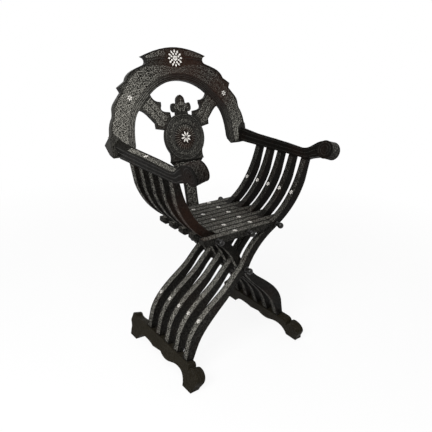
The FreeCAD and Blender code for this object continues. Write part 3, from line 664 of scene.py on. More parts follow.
def ramp(tree, source, low, high, start=0, end=1):
    """A value that goes from start to end while its source goes from low to high."""
    node = tree.nodes.new("ShaderNodeMapRange")
    for key, value in (("From Min", low), ("From Max", high), ("To Min", start), ("To Max", end)):
        node.inputs[key].default_value = value
    tree.links.new(source, node.inputs["Value"])
    return node.outputs["Result"]


def feed(tree, socket, value):
    """Link a socket to a shader's output, or set it to a plain value."""
    if isinstance(value, bpy.types.NodeSocket):
        tree.links.new(value, socket)
    else:
        socket.default_value = value


def mixed(tree, share, first, second):
    """Two colours mixed by a share; each colour is a socket or a plain colour."""
    node = tree.nodes.new("ShaderNodeMix")
    node.data_type = "RGBA"
    for number, value in ((0, share), (6, first), (7, second)):
        feed(tree, node.inputs[number], value)
    return node.outputs[2]


def combined(tree, operation, first, second):
    """Two values put together by one operation; the second is a socket or a plain number."""
    node = tree.nodes.new("ShaderNodeMath")
    node.operation = operation
    for socket, value in zip(node.inputs, (first, second)):
        feed(tree, socket, value)
    return node.outputs[0]


def product(tree, first, second):
    """A value times another value or a number."""
    return combined(tree, "MULTIPLY", first, second)


def noise(tree, vector, scale, detail=4, rough=0.6):
    """A noise value at a scale in cycles for a metre."""
    node = node_of(tree, "ShaderNodeTexNoise", Scale=scale, Detail=detail, Roughness=rough)
    tree.links.new(vector, node.inputs["Vector"])
    return node.outputs["Fac"]


def near(tree, place, centre, reach):
    """A share that falls from one at a place to nothing at its reach."""
    mapping = tree.nodes.new("ShaderNodeMapping")
    mapping.inputs["Location"].default_value = [-part / reach for part in centre]
    mapping.inputs["Scale"].default_value = [1 / reach] * 3
    tree.links.new(place, mapping.inputs["Vector"])
    fall = tree.nodes.new("ShaderNodeTexGradient")
    fall.gradient_type = "SPHERICAL"
    tree.links.new(mapping.outputs["Vector"], fall.inputs["Vector"])
    return fall.outputs["Fac"]


def painted_light_level(tree, place):
    """How much each place of the chair is brightened or dimmed, as painted light and shade on the grey of the
    carving.
    """
    level = None
    for centre, reach, far in PAINTED_LIGHT_LEVELS:
        # Each place brightens the grey as a painted highlight or dims it as painted shade
        part = ramp(tree, near(tree, place, centre, reach), 0, 0.6, 1, far)
        level = part if level is None else product(tree, level, part)
    return level


def wood_material(name, base, warm, dust_and_highlight, roughness, dust_and_highlight_share, punch=0, grain=(30, 30, 30), warm_share=0.3,
                  sheen=0.03):
    """Stained wood: dark and worn patches, a grey on what faces up that is partly dust and partly a painted
    highlight, brightened or dimmed about some places as painted light and shade, grain or punched ground in
    the bump.
    """
    material = bpy.data.materials.new(name)
    material.use_nodes = True
    tree = material.node_tree
    shader = tree.nodes["Principled BSDF"]
    place = tree.nodes.new("ShaderNodeTexCoord").outputs["Object"]
    mapping = node_of(tree, "ShaderNodeMapping", Scale=grain)
    tree.links.new(place, mapping.inputs["Vector"])
    worn = product(tree, ramp(tree, noise(tree, place, 11, 3), 0.52, 0.70), 0.4)
    for centre, reach in WORN_PLACES:
        worn = combined(tree, "MAXIMUM", worn, ramp(tree, near(tree, place, centre, reach), 0.1, 0.7))
    stain = mixed(tree, product(tree, worn, warm_share), tuple(base), tuple(warm))
    streaks = noise(tree, mapping.outputs["Vector"], 6, 5)
    deep = tuple(0.4 * part for part in base[:3]) + (1,)
    stain = mixed(tree, product(tree, ramp(tree, streaks, 0.42, 0.72), 0.6), stain, deep)
    speckle = ramp(tree, noise(tree, place, 240, 5, 0.7), 0.40, 0.64)
    split = tree.nodes.new("ShaderNodeSeparateXYZ")
    geometry = tree.nodes.new("ShaderNodeNewGeometry")
    tree.links.new(geometry.outputs["Normal"], split.inputs[0])
    # More grey on what faces up: partly dust lying on it, partly a painted highlight from above
    dust_and_top_highlight = ramp(tree, split.outputs["Z"], -0.9, 0.7)
    cleaned = ramp(tree, worn, 0, 1, dust_and_highlight_share, 0.4 * dust_and_highlight_share)
    # The grey share: speckle, the upward dust and painted highlight, less where worn, times the painted light
    # and shade about some places
    share = product(tree, product(tree, speckle, dust_and_top_highlight), product(tree, cleaned, painted_light_level(tree, place)))
    bump = node_of(tree, "ShaderNodeBump", Strength=0.5, Distance=GRAIN_DEPTH)
    tree.links.new(streaks, bump.inputs["Height"])
    if punch:
        cells = node_of(tree, "ShaderNodeTexVoronoi", Scale=punch)
        tree.links.new(place, cells.inputs["Vector"])
        share = product(tree, ramp(tree, cells.outputs["Distance"], 0.28, 0.56), share)
        pits = node_of(tree, "ShaderNodeBump", Strength=0.9, Distance=PUNCH_DEPTH)
        tree.links.new(cells.outputs["Distance"], pits.inputs["Height"])
        tree.links.new(bump.outputs["Normal"], pits.inputs["Normal"])
        bump = pits
    tree.links.new(mixed(tree, share, stain, tuple(dust_and_highlight)), shader.inputs["Base Color"])
    gloss = ramp(tree, noise(tree, place, 45, 4), 0.2, 0.8, roughness - 0.10, roughness + 0.12)
    tree.links.new(gloss, shader.inputs["Roughness"])
    shader.inputs["Specular IOR Level"].default_value = sheen
    tree.links.new(bump.outputs["Normal"], shader.inputs["Normal"])
    return material


def pearl_material(colours):
    """White shell and bone of the inlay, with faint cloudy warmth and fine saw marks."""
    material = bpy.data.materials.new("pearl_inlay")
    material.use_nodes = True
    tree = material.node_tree
    shader = tree.nodes["Principled BSDF"]
    place = tree.nodes.new("ShaderNodeTexCoord").outputs["Object"]
    cloud = ramp(tree, noise(tree, place, 160, 3), 0.35, 0.75)
    deep = tuple(part * 0.72 for part in colours.pearl[:3]) + (1,)
    tree.links.new(mixed(tree, cloud, tuple(colours.pearl), deep), shader.inputs["Base Color"])
    shader.inputs["Roughness"].default_value = 0.28
    shader.inputs["Coat Weight"].default_value = 0.3
    bump = node_of(tree, "ShaderNodeBump", Strength=0.25, Distance=SAW_DEPTH)
    tree.links.new(noise(tree, place, 900, 2), bump.inputs["Height"])
    tree.links.new(bump.outputs["Normal"], shader.inputs["Normal"])
    return material


def finishes():
    """The chair's materials, made once and kept by name."""
    if "carved_edge" in bpy.data.materials:
        return bpy.data.materials
    colours = bpy.context.scene.chair_colours
    ebony, brown, dust_and_highlight = colours.ebony, colours.warm, colours.dust_and_highlight

    def stained(name, roughness, dust_and_highlight_share, **settings):
        """One finish of the blackened wood that is worn to brown."""
        wood_material(name, ebony, brown, dust_and_highlight, roughness, dust_and_highlight_share, **settings)

    stained("board_wood", 0.46, 0.14, grain=BOARD_GRAIN, sheen=0.06)
    stained("moulding_wood", 0.40, 0.40, grain=BOARD_GRAIN, sheen=0.12)
    stained("carved_ground", 0.60, 0.36, punch=CARVED_PUNCH, warm_share=0.7)
    stained("carved_edge", 0.42, 1.9, warm_share=0.9, sheen=0.08)
    stained("fine_edge", 0.45, 1.05, warm_share=0.9, sheen=0.05)
    stained("roll_edge", 0.42, 0.5, warm_share=0.7, sheen=0.08)
    stained("petal_wood", 0.5, 1.2, warm_share=1.6)
    stained("arm_wood", 0.50, 0.03, grain=ARM_GRAIN, warm_share=0.35)
    stained("arm_moulding", 0.42, 0.14, grain=ARM_GRAIN, warm_share=0.35, sheen=0.06)
    stained("rib_wood", 0.42, 0.11, punch=CARVED_PUNCH, grain=RIB_GRAIN, warm_share=0.5)
    wood_material("slat_finish", ebony, ebony, dust_and_highlight, 0.50, 0.30, punch=CARVED_PUNCH, grain=SLAT_GRAIN)
    wood_material("foot_finish", colours.foot_brown, ebony, dust_and_highlight, 0.55, 0.06, punch=FOOT_PUNCH,
                  grain=FOOT_GRAIN)
    wood_material("turned_finish", ebony, ebony, dust_and_highlight, 0.16, 0.02, sheen=0.25)
    pearl_material(colours)
    return bpy.data.materials


# Ribs and slats
def rib_piece(letter, number, body):
    """One rib: its broad faces sunk inside borders and carved with a running scroll."""
    sizes = bpy.context.scene.chair_sizes
    palette = finishes()
    node = f"rib_{letter}{number}"
    piece = wood_from(node)
    paint(piece, palette["rib_wood"], palette["carved_ground"])
    axis = Vector((0, 1, 0))
    carved_half = RIB_WIDTH / 2 - sizes.rib_border - STEM_GAP
    picked = set()
    vines = []
    for faces, places, normals in strip_chains(piece, axis, RIB_WIDTH):
        length, place = ribbon(places, normals, axis)
        if len(faces) <= 8 or length < SHORT_STRIP:
            continue
        strokes = scroll_strokes(length - 2 * RIB_END, carved_half, sizes.vine_pitch, sizes.vine,
                                 phase=number % 2, start=RIB_END)
        vine = carved(f"{node}_vine", strokes, place, -RIB_SINK * sizes.rib_depth)
        paint(vine, palette["fine_edge"])
        vines.append(vine)
        picked.update(faces)
    recess(piece, picked, sizes.rib_border, sizes.rib_depth)
    round_edges(piece, sizes.edge_rounding)
    join(piece, vines)
    finished(piece, [node], body)


def make_ribs():
    """All ten ribs."""
    for letter, body in (("a", "fixed_frame"), ("b", "folding_frame")):
        for number in range(1, RIBS + 1):
            rib_piece(letter, number, body)


def slat_piece(side, number):
    """One seat slat, its top sunk and carved."""
    sizes = bpy.context.scene.chair_sizes
    palette = finishes()
    node = f"{side}_slat{number}"
    low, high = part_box(node)
    border = 0.5 * sizes.rib_border
    piece = wood_from(node)
    paint(piece, palette["slat_finish"], palette["carved_ground"])
    top = {face.index for face in piece.data.polygons if face.normal.z > 0.99 and face.area > SLAT_TOP_AREA}
    recess(piece, top, border, sizes.rib_depth)
    strokes = scroll_strokes(high.x - low.x - 2 * SLAT_END, RIB_WIDTH / 2 - border - STEM_GAP,
                             0.9 * sizes.vine_pitch, 0.9 * sizes.vine, phase=number % 2, start=SLAT_END)
    middle = (low.y + high.y) / 2

    def place(along, across, height):
        return Vector((low.x + along, middle + across, high.z + height))

    vine = carved(f"{node}_vine", strokes, place, -RIB_SINK * sizes.rib_depth)
    paint(vine, palette["fine_edge"])
    round_edges(piece, sizes.edge_rounding)
    join(piece, [vine])
    finished(piece, [node], f"{side}_slats")


def make_slats():
    """The ten seat slats."""
    for side, _ in SIDES:
        for number in range(1, RIBS + 1):
            slat_piece(side, number)


# Back
def front_faces(piece, least=BOARD_FRONT_AREA):
    """Numbers of the faces on the front of a board of the back."""
    return {face.index for face in piece.data.polygons
            if face.normal.dot(BACK_OUT) > 0.99 and face.area > least}


def dress_board(piece, scrolls, lines, border, setback):
    """Sink the front of a board of the back, round its edges and lay scrolls and raised lines on it."""
    sizes = bpy.context.scene.chair_sizes
    palette = finishes()
    recess(piece, front_faces(piece), border, sizes.board_depth)
    round_edges(piece, sizes.edge_rounding)
    extras = []
    for number, (strokes, place) in enumerate(scrolls):
        vine = carved(f"{piece.name}_vine{number}", strokes, place, -BOARD_SINK * sizes.board_depth - setback)
        paint(vine, palette["carved_edge"])
        extras.append(vine)
    if lines:
        depth = LINE_SINK * sizes.board_depth + setback
        moulding = carved(f"{piece.name}_mouldings", lines, back_place, -depth, 2)
        paint(moulding, palette["moulding_wood"])
        extras.append(moulding)
    join(piece, extras)


def back_board(node, scrolls, border=None, setback=0):
    """A board of the back with a sunk front and scrolls."""
    sizes = bpy.context.scene.chair_sizes
    palette = finishes()
    piece = wood_from(node)
    paint(piece, palette["board_wood"], palette["carved_ground"], palette["carved_edge"])
    dress_board(piece, scrolls, [], border or sizes.board_border, setback)
    finished(piece, [node], "back")


def side_stations(stations, side):
    """The stations of one side from those of the right side."""
    return [((side * inner[0], inner[1]), (side * outer[0], outer[1])) for inner, outer in stations]


def mirrored_stations(stations):
    """The stations of the whole arch from those of its right half, left to right."""
    return side_stations(stations, -1)[:-1] + list(reversed(stations))


def arch_lines():
    """The mouldings along the arch's inner edge, as plain lines over the whole arch."""
    sizes = bpy.context.scene.chair_sizes
    edge = [(-x, y) for x, y in ARCH_EDGE[:-1]] + list(reversed(ARCH_EDGE))
    samples = 150
    lines = []
    for offset, thick in ARCH_MOULDINGS:
        line = []
        for index in range(samples + 1):
            share = index / samples
            ahead = Vector(smooth_at(edge, min(share + 0.01, 1)))
            behind = Vector(smooth_at(edge, max(share - 0.01, 0)))
            along = (ahead - behind).normalized()
            spot = Vector(smooth_at(edge, share)) + Vector((-along.y, along.x)) * offset
            line.append((spot.x * MM, spot.y * MM, thick * sizes.moulding))
        lines.append(line)
    return lines


def arch_board():
    """The crest and both stiles as one board: their meeting faces deleted and the rims merged."""
    arch = join(wood_from("crest_board"), [wood_from("left_stile"), wood_from("right_stile")])
    (low_x, low_y), (high_x, high_y) = ARCH_JOINT
    run = Vector((high_x - low_x, high_y - low_y)).normalized()
    edit_mode()
    object_mode()
    for face in arch.data.polygons:
        offs = []
        for number in face.vertices:
            spot = arch.data.vertices[number].co
            step = Vector((abs(spot.x) / MM - low_x, slope_of(spot) / MM - low_y))
            offs.append(abs(step.x * run.y - step.y * run.x))
        face.select = max(offs) < 0.2
    bpy.ops.object.mode_set(mode="EDIT")
    bpy.ops.mesh.delete(type="ONLY_FACE")
    bpy.ops.mesh.select_all(action="SELECT")
    bpy.ops.mesh.remove_doubles(threshold=JOINT_MERGE)
    bpy.ops.mesh.dissolve_limited(angle_limit=math.radians(0.3))
    object_mode()
    arch.name = "carved_arch"
    return arch


def trim_sides(piece):
    """Cut off what the rounding pushed past the chair's widest place."""
    activate(piece)
    for side in (1, -1):
        edit_mode()
        bpy.ops.mesh.select_all(action="SELECT")
        bpy.ops.mesh.bisect(plane_co=(side * (cad_box[1].x - SIDE_TRIM), 0, 0), plane_no=(side, 0, 0),
                            clear_outer=True, use_fill=True)
        object_mode()


def slope_of(spot):
    """How far up the back's slope a place is."""
    return (spot - BACK_FOOT).dot(BACK_UP)


def make_arch():
    """The crest board and the two stiles, with one band of scrolls that runs over all three."""
    sizes = bpy.context.scene.chair_sizes
    palette = finishes()
    length, half, place = band(mirrored_stations(ARCH_STATIONS), back_place, 160)
    rows = 3
    strokes = []
    for row in range(rows):
        centre = half * (2 * row + 1 - rows) / rows
        strokes += scroll_strokes(length, half / rows * 0.97, sizes.vine_pitch, 1.1 * sizes.vine,
                                  centre=centre, phase=row)
    scrolls = [(strokes, place)]
    for side in (1, -1):
        stations = side_stations(CAP_STATIONS, side)
        cap_length, cap_half, cap_place = band(stations, back_place, 24)
        strokes = scroll_strokes(cap_length, cap_half, 0.8 * sizes.vine_pitch, 0.9 * sizes.vine)
        scrolls.append((strokes, cap_place))
    lines = arch_lines()
    for side in (1, -1):
        lines.append([(side * x * MM, y * MM, 0.7 * sizes.moulding) for x, y in CAP_LEDGE])
    arch = arch_board()
    paint(arch, palette["board_wood"], palette["carved_ground"], palette["carved_edge"])
    dress_board(arch, scrolls, lines, sizes.board_border, 0)
    trim_sides(arch)
    finished(arch, ["crest_board", "left_stile", "right_stile"], "back")


def double_scroll(stations, share, pitch, thick):
    """Two rows of scrolls side by side on a narrow board, and the function that places them."""
    length, half, place = band(stations, back_place, 24)
    strokes = []
    for phase, row in enumerate((-0.5, 0.5)):
        strokes += scroll_strokes(length, share * half, pitch, thick, centre=row * half, phase=phase)
    return strokes, place


def make_brackets():
    """The two brackets between the medallion and the arch."""
    sizes = bpy.context.scene.chair_sizes
    for word, side in SIDES:
        stations = side_stations(BRACKET_STATIONS, side)
        scroll = double_scroll(stations, 0.46, 0.85 * sizes.vine_pitch, 0.95 * sizes.vine)
        back_board(f"{word}_bracket", [scroll])


def medallion_place(along, across, height):
    """A place on the medallion, measured from its centre."""
    return back_place(along, MEDALLION_SLOPE + across, height)


def ring_place(along, across, height):
    """A place on the medallion's ring of scrolls: along the ring, across it outwards."""
    turn = along / RING_REACH
    reach = RING_REACH + across
    return medallion_place(reach * math.cos(turn), reach * math.sin(turn), height)


def petal_place(along, across, height):
    """A place on the low cone that falls from the boss to the ring of scrolls."""
    fall = (math.hypot(along, across) - BOSS_REACH) / PETAL_RUN
    return medallion_place(along, across, height + PETAL_TOP - PETAL_DROP * min(max(fall, 0), 1))


def make_medallion():
    """The medallion: its board, ring mouldings, ring of scrolls, boss and petals."""
    sizes = bpy.context.scene.chair_sizes
    palette = finishes()
    piece = wood_from("medallion_board")
    paint(piece, palette["board_wood"], palette["carved_ground"])
    recess(piece, front_faces(piece, MEDALLION_AREA), MEDALLION_BORDER, sizes.board_depth)
    round_edges(piece, MEDALLION_ROUNDING)
    rings = [ring_stroke(reach * MM, thick * sizes.moulding, 96) for reach, thick in MEDALLION_RINGS]
    scrolls = scroll_strokes(2 * math.pi * RING_REACH, RING_HALF, RING_PITCH, 0.85 * sizes.vine)
    petals = []
    for index in range(PETALS):
        turn = 2 * math.pi * index / PETALS
        petals.append([(reach * MM * math.cos(turn), reach * MM * math.sin(turn), thick * MM)
                       for reach, thick in PETAL_POINTS])
    extras = [
        carved("medallion_rings", rings, medallion_place, -LINE_SINK * sizes.board_depth, 2),
        carved("medallion_scrolls", scrolls, ring_place, -FINE_SINK * sizes.board_depth),
        carved("medallion_petals", petals, petal_place, 0, 2),
    ]
    for extra, finish in zip(extras, ("moulding_wood", "fine_edge", "petal_wood")):
        paint(extra, palette[finish])
    join(piece, extras)
    finished(piece, ["medallion_board"], "back")


def make_splat():
    """The lower splat under the medallion's neck."""
    sizes = bpy.context.scene.chair_sizes
    scroll = double_scroll(SPLAT_STATIONS, 0.47, 0.9 * sizes.vine_pitch, sizes.vine)
    back_board("lower_splat", [scroll], setback=SPLAT_SETBACK)


def make_back_finial():
    """The lobed ornament on top of the medallion."""
    sizes = bpy.context.scene.chair_sizes
    strokes = []
    for side in (1, -1):
        for x, y, reach, turn in FINIAL_CURLS:
            start = turn if side > 0 else math.pi - turn
            curl = spiral_stroke(reach * MM, 0.25, 1.4, sizes.vine, start, side, 16)
            strokes.append([(side * x * MM + along, y * MM + across, thick) for along, across, thick in curl])
    strokes.append([(0, y * MM, thick * MM) for y, thick in FINIAL_BUD])
    back_board("back_finial", [(strokes, back_place)], border=FINIAL_BORDER)


def make_cheeks():
    """The beaks behind the arms, and the tongues that hold the back."""
    palette = finishes()
    for word, _ in SIDES:
        for node, rounding in ((f"{word}_cheek", CHEEK_ROUNDING), (f"{word}_tongue", TONGUE_ROUNDING)):
            piece = wood_from(node)
            paint(piece, palette["board_wood"])
            round_edges(piece, rounding)
            finished(piece, [node], "back")


# Rails
def arm_lines(side, face):
    """Mouldings along one side of an arm, from the back to the scroll."""
    sizes = bpy.context.scene.chair_sizes
    samples = 40
    lines = []
    for share in ARM_MOULDING_SHARES:
        line = []
        for index in range(samples + 1):
            low = smooth_at(ARM_BOTTOM, index / samples)
            high = smooth_at(ARM_TOP, index / samples)
            line.append((low[0] * MM, (low[1] + (high[1] - low[1]) * share) * MM, 0.9 * sizes.moulding))
        lines.append(line)

    def place(along, up, height):
        return arm_place(side, face * (ARM_WIDTH / 2 + height), along, up)

    return carved(f"arm_lines{side}{face}", lines, place, -ARM_LINE_SINK, 2)


def scroll_place(side, across, along, up):
    """A place in an arm's own frame, measured from the axis of its scroll."""
    return arm_place(side, across, SCROLL_CENTRE[0] * MM + along, SCROLL_CENTRE[1] * MM + up)


def scroll_side(side, face):
    """The spiral and button on one end of an arm's scroll."""
    half = ARM_WIDTH / 2 if face == side else SCROLL_WIDTH - ARM_WIDTH / 2
    strokes = [spiral_stroke(SPIRAL_REACH, 0.22, 2.2, SPIRAL_HALF, -0.6, 1, 60),
               [(0, 0, BUTTON_HALF), (BUTTON_LENGTH, 0, BUTTON_HALF)]]

    def place(along, up, height):
        return scroll_place(side, face * (half + height), along, up)

    return carved(f"scroll_side{side}{face}", strokes, place, -SPIRAL_SINK, 2)


def scroll_face(side):
    """Leaves carved round the roll of an arm's scroll."""
    sizes = bpy.context.scene.chair_sizes
    shift = -side * (SCROLL_WIDTH - ARM_WIDTH) / 2
    rows = 3
    wide = (SCROLL_WIDTH - ROLL_MARGINS) / rows
    strokes = []
    for row in range(rows):
        strokes += scroll_strokes(SCROLL_RADIUS * ROLL_ARC, 0.48 * wide, LEAF_PITCH, sizes.vine,
                                  centre=(row - 1) * wide, phase=row % 2)

    def place(along, across, height):
        turn = ROLL_START + along / SCROLL_RADIUS
        spot = SCROLL_RADIUS + height
        return scroll_place(side, across + shift, spot * math.cos(turn), spot * math.sin(turn))

    return carved(f"scroll_face{side}", strokes, place, -LEAF_SINK)


def roll_faces(piece, side, axis):
    """Numbers of the faces round the roll of an arm's scroll."""
    centre = scroll_place(side, 0, 0, 0)
    picked = set()
    for face in piece.data.polygons:
        step = face.center - centre
        step -= axis * step.dot(axis)
        faces_out = abs(face.normal.dot(axis)) < 0.1 and step.normalized().dot(face.normal) > 0.98
        if faces_out and abs(step.length - SCROLL_RADIUS) < ROLL_TOLERANCE:
            picked.add(face.index)
    return picked


def arm_piece(word, side, body):
    """One arm rail with its carved top, its side mouldings and its front scroll."""
    sizes = bpy.context.scene.chair_sizes
    palette = finishes()
    node = f"{word}_arm"
    piece = wood_from(node)
    paint(piece, palette["arm_wood"], palette["carved_ground"])
    axis = Matrix.Rotation(side * ARM_LEAN, 3, "Y") @ Vector((1, 0, 0))
    extras = []
    picked = set()
    for faces, places, normals in strip_chains(piece, axis, ARM_WIDTH):
        length, place = ribbon(places, normals, axis)
        if length > LONG_STRIP and sum(normal.z for normal in normals) > 0:
            strokes = scroll_strokes(length - 2 * ARM_END, ARM_WIDTH / 2 - sizes.board_border,
                                     sizes.vine_pitch, sizes.vine, start=ARM_END)
            vine = carved(f"{node}_vine", strokes, place, -FINE_SINK * sizes.board_depth)
            paint(vine, palette["fine_edge"])
            extras.append(vine)
            picked.update(faces)
    recess(piece, picked, sizes.board_border, sizes.board_depth)
    recess(piece, roll_faces(piece, side, axis), ROLL_BORDER, ROLL_DEPTH, 0)
    round_edges(piece, ARM_ROUNDING)
    for face in (-1, 1):
        for extra in (arm_lines(side, face), scroll_side(side, face)):
            paint(extra, palette["arm_moulding"])
            extras.append(extra)
    leaves = scroll_face(side)
    paint(leaves, palette["roll_edge"])
    extras.append(leaves)
    join(piece, extras)
    finished(piece, [node], body)


def make_arms():
    """Both arm rails."""
    arm_piece("right", 1, "fixed_frame")
    arm_piece("left", -1, "folding_frame")


def foot_spiral(side, face):
    """The spiral on one side of a foot's volute."""
    def place(along, up, height):
        return foot_place(side, face * (FOOT_WIDTH / 2 + height), VOLUTE_CENTRE[0] * MM + along,
                          VOLUTE_CENTRE[1] * MM + up)

    spiral = spiral_stroke(VOLUTE_REACH, 0.2, 1.6, VOLUTE_HALF, 2.8, -1, 48)
    return carved(f"foot_spiral{side}{face}", [spiral], place, -VOLUTE_SINK, 2)


def make_feet():
    """Both foot rails, softly rounded, with a spiral on each side of the front volute."""
    finish = finishes()["foot_finish"]
    for word, side, body in (("left", -1, "fixed_frame"), ("right", 1, "folding_frame")):
        node = f"{word}_foot"
        piece = wood_from(node)
        paint(piece, finish)
        round_edges(piece, FOOT_ROUNDING, 20)
        spirals = [foot_spiral(side, face) for face in (-1, 1)]
        for spiral in spirals:
            paint(spiral, finish)
        join(piece, spirals)
        finished(piece, [node], body)


# Rods and turned ends
def turned_end(name, x, z, front, rings):
    """A turned knob on a rod's end: a disc drawn out ring by ring along the rod."""
    bpy.ops.object.select_all(action="DESELECT")
    first = rings[0]
    bpy.ops.mesh.primitive_circle_add(vertices=28, radius=first[1], fill_type="NGON")
    piece = bpy.context.object
    piece.name = name
    bpy.ops.object.mode_set(mode="EDIT")
    bpy.ops.mesh.select_all(action="SELECT")
    for (low, narrow), (high, wide) in zip(rings, rings[1:]):
        bpy.ops.mesh.extrude_region_move(TRANSFORM_OT_translate={"value": (0, 0, high - low)})
        bpy.ops.transform.resize(value=(wide / narrow, wide / narrow, 1))
    bpy.ops.mesh.select_all(action="SELECT")
    bpy.ops.mesh.normals_make_consistent(inside=False)
    object_mode()
    way = -1 if front else 1
    piece.location = (x, STACK_Y + way * ROD_END_Y, z)
    piece.rotation_euler = (-way * math.pi / 2, 0, 0)
    place_in_mesh(piece)
    bpy.ops.object.shade_smooth_by_angle(angle=math.radians(40))
    paint(piece, finishes()["turned_finish"])
    return piece


def ball_rings(gap=0):
    """Rings of a ball knob: beaded collar, waist and ball, as pairs of height and radius."""
    rings = [(gap + height, radius) for height, radius in BALL_COLLAR]
    steps = 12
    for index in range(2, steps):
        angle = -math.pi / 2 + math.pi * (index + 0.35) / (steps + 0.35)
        rings.append((BALL_MIDDLE + BALL_REACH * math.sin(angle), BALL_REACH * math.cos(angle)))
    rings.append((BALL_MIDDLE + BALL_REACH, BALL_TIP))
    return [(height * MM, radius * MM) for height, radius in rings]


def knob_pair(word, x, z, front_gap, rear_gap):
    """The front and the rear knob of a rod."""
    return [turned_end(f"{word}_front_knob", x, z, True, ball_rings(front_gap)),
            turned_end(f"{word}_rear_knob", x, z, False, ball_rings(rear_gap))]


def make_knobs():
    """The turned knobs on the rods' ends."""
    cap = [(height * MM, radius * MM) for height, radius in CAP_RINGS]
    fixed = (knob_pair("pivot", 0, PIVOT_Z, 0, KNOB_GAP)
             + knob_pair("right", SEAT_ROD_X, SEAT_ROD_Z, 0, KNOB_GAP))
    left = knob_pair("left", -SEAT_ROD_X, SEAT_ROD_Z, KNOB_GAP, 0)
    middle_front = [turned_end("middle_front_knob", 0, SEAT_ROD_Z, True, ball_rings())]
    middle_rear = [turned_end("middle_rear_knob", 0, SEAT_ROD_Z, False, cap)]
    for pieces, name, node, body in (
            (fixed, "fixed_knobs", "fixed_rod_finials", "fixed_frame"),
            (left, "left_knobs", "left_rod_finials", "folding_frame"),
            (middle_front, "middle_front_knobs", "left_middle_pins", "left_slats"),
            (middle_rear, "middle_rear_knobs", "right_middle_pins", "right_slats")):
        pieces[0].name = name
        join(pieces[0], pieces[1:])
        finished(pieces[0], [node], body)
    for node in ("pivot_rod", "left_seat_rod", "right_seat_rod"):
        paint(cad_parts[node], finishes()["turned_finish"])


# Inlay
def petal_star(name, reach, petals, inner=0.18, waist=0.50, phase=0.25,
               thickness=KITE_THICKNESS):
    """A flat star of separate kites about the origin, facing up."""
    bpy.ops.object.select_all(action="DESELECT")
    length = reach * (1 - inner) / 2
    parts = []
    for index in range(petals):
        bpy.ops.mesh.primitive_circle_add(vertices=4, radius=1, fill_type="NGON")
        part = bpy.context.object
        part.scale = (length, length * waist * 6 / petals, 1)
        part.location = (reach * inner + length, 0, 0)
        place_in_mesh(part)
        part.rotation_euler = (0, 0, 2 * math.pi * (index + phase) / petals)
        place_in_mesh(part)
        parts.append(part)
    star = join(parts[0], parts[1:])
    star.name = name
    edit_mode()
    bpy.ops.mesh.select_all(action="SELECT")
    bpy.ops.mesh.extrude_region_move(TRANSFORM_OT_translate={"value": (0, 0, thickness)})
    bpy.ops.mesh.select_all(action="SELECT")
    bpy.ops.mesh.normals_make_consistent(inside=False)
    object_mode()
    return star


def set_star(star, spot, out, along=Vector((0, 1, 0))):
    """Turn a flat star to face outwards and put it on its spot."""
    across = along.cross(out).normalized()
    true_along = out.cross(across)
    turn = Matrix((across, true_along, out)).transposed().to_4x4()
    star.matrix_world = Matrix.Translation(spot) @ turn
    place_in_mesh(star)
    return star


def stars_on_group(node, body, centres):
    """Stars in place of a packed group of stars: one at each centre with its outward direction."""
    sizes = bpy.context.scene.chair_sizes
    stars = []
    for number, (spot, out) in enumerate(centres):
        star = petal_star(f"{node}_{number}", sizes.star, 6, thickness=STAR_THICKNESS)
        stars.append(set_star(star, spot, out))
    group = join(stars[0], stars[1:])
    group.name = node + "_inlay"
    paint(group, finishes()["pearl_inlay"])
    finished(group, [node], body)


def star_places(node):
    """Centre and outward direction of each separate star of a packed group."""
    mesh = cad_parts[node].data
    copy = mesh.copy()
    probe = bpy.data.objects.new("probe", copy)
    bpy.context.scene.collection.objects.link(probe)
    activate(probe)
    edit_mode()
    bpy.ops.mesh.select_all(action="SELECT")
    bpy.ops.mesh.remove_doubles(threshold=MERGE)
    bpy.ops.mesh.separate(type="LOOSE")
    object_mode()
    loose = list(bpy.context.selected_objects)
    places = []
    for part in loose:
        faces = sorted(part.data.polygons, key=lambda face: -face.area)
        centre = sum((vertex.co for vertex in part.data.vertices), Vector()) / len(part.data.vertices)
        totals = {}
        for face in faces:
            key = tuple(round(value, 2) for value in face.normal)
            totals[key] = totals.get(key, 0) + face.area
        flat = sorted(totals, key=lambda key: -totals[key])[:2]
        places.append((centre, [Vector(key).normalized() for key in flat]))
    bpy.ops.object.select_all(action="DESELECT")
    for part in loose:
        bpy.data.objects.remove(part)
    return places


def make_stars():
    """The small stars of the ribs, slats and arms."""
    for node, body in (("fixed_rib_stars", "fixed_frame"), ("folding_rib_stars", "folding_frame"),
                       ("left_slat_stars", "left_slats"), ("right_slat_stars", "right_slats")):
        centres = []
        for centre, normals in star_places(node):
            out = max(normals, key=lambda normal: normal.z)
            centres.append((centre - out * STAR_SINK, out))
        stars_on_group(node, body, centres)


def make_back_inlay():
    """The crest's rosette, the stars of the stiles and the medallion's star."""
    sizes = bpy.context.scene.chair_sizes
    stars = []
    rosette = back_place(0, ROSETTE_UP, INLAY_HEIGHT)
    for ring in ROSETTE_RINGS:
        stars.append((petal_star("crest_star", *ring), rosette))
    across, up = STILE_STAR
    for side in (-1, 1):
        star = petal_star("stile_star", STILE_STAR_SHARE * sizes.star, 6)
        stars.append((star, back_place(side * across, up, INLAY_HEIGHT)))
    star = petal_star("medallion_star", MEDALLION_STAR, 8, 0.16, 0.46)
    stars.append((star, medallion_place(0, 0, BOSS_HEIGHT)))
    parts = [set_star(star, spot, BACK_OUT, BACK_UP) for star, spot in stars]
    group = join(parts[0], parts[1:])
    group.name = "back_inlay"
    paint(group, finishes()["pearl_inlay"])
    finished(group, ["back_inlays"], "back")


# Stage
def seen_rays(tree):
    """One where a ray comes from the camera, a gloss or a glass, else nothing."""
    path = tree.nodes.new("ShaderNodeLightPath")
    seen = combined(tree, "MAXIMUM", path.outputs["Is Camera Ray"], path.outputs["Is Glossy Ray"])
    return combined(tree, "MAXIMUM", seen, path.outputs["Is Transmission Ray"])


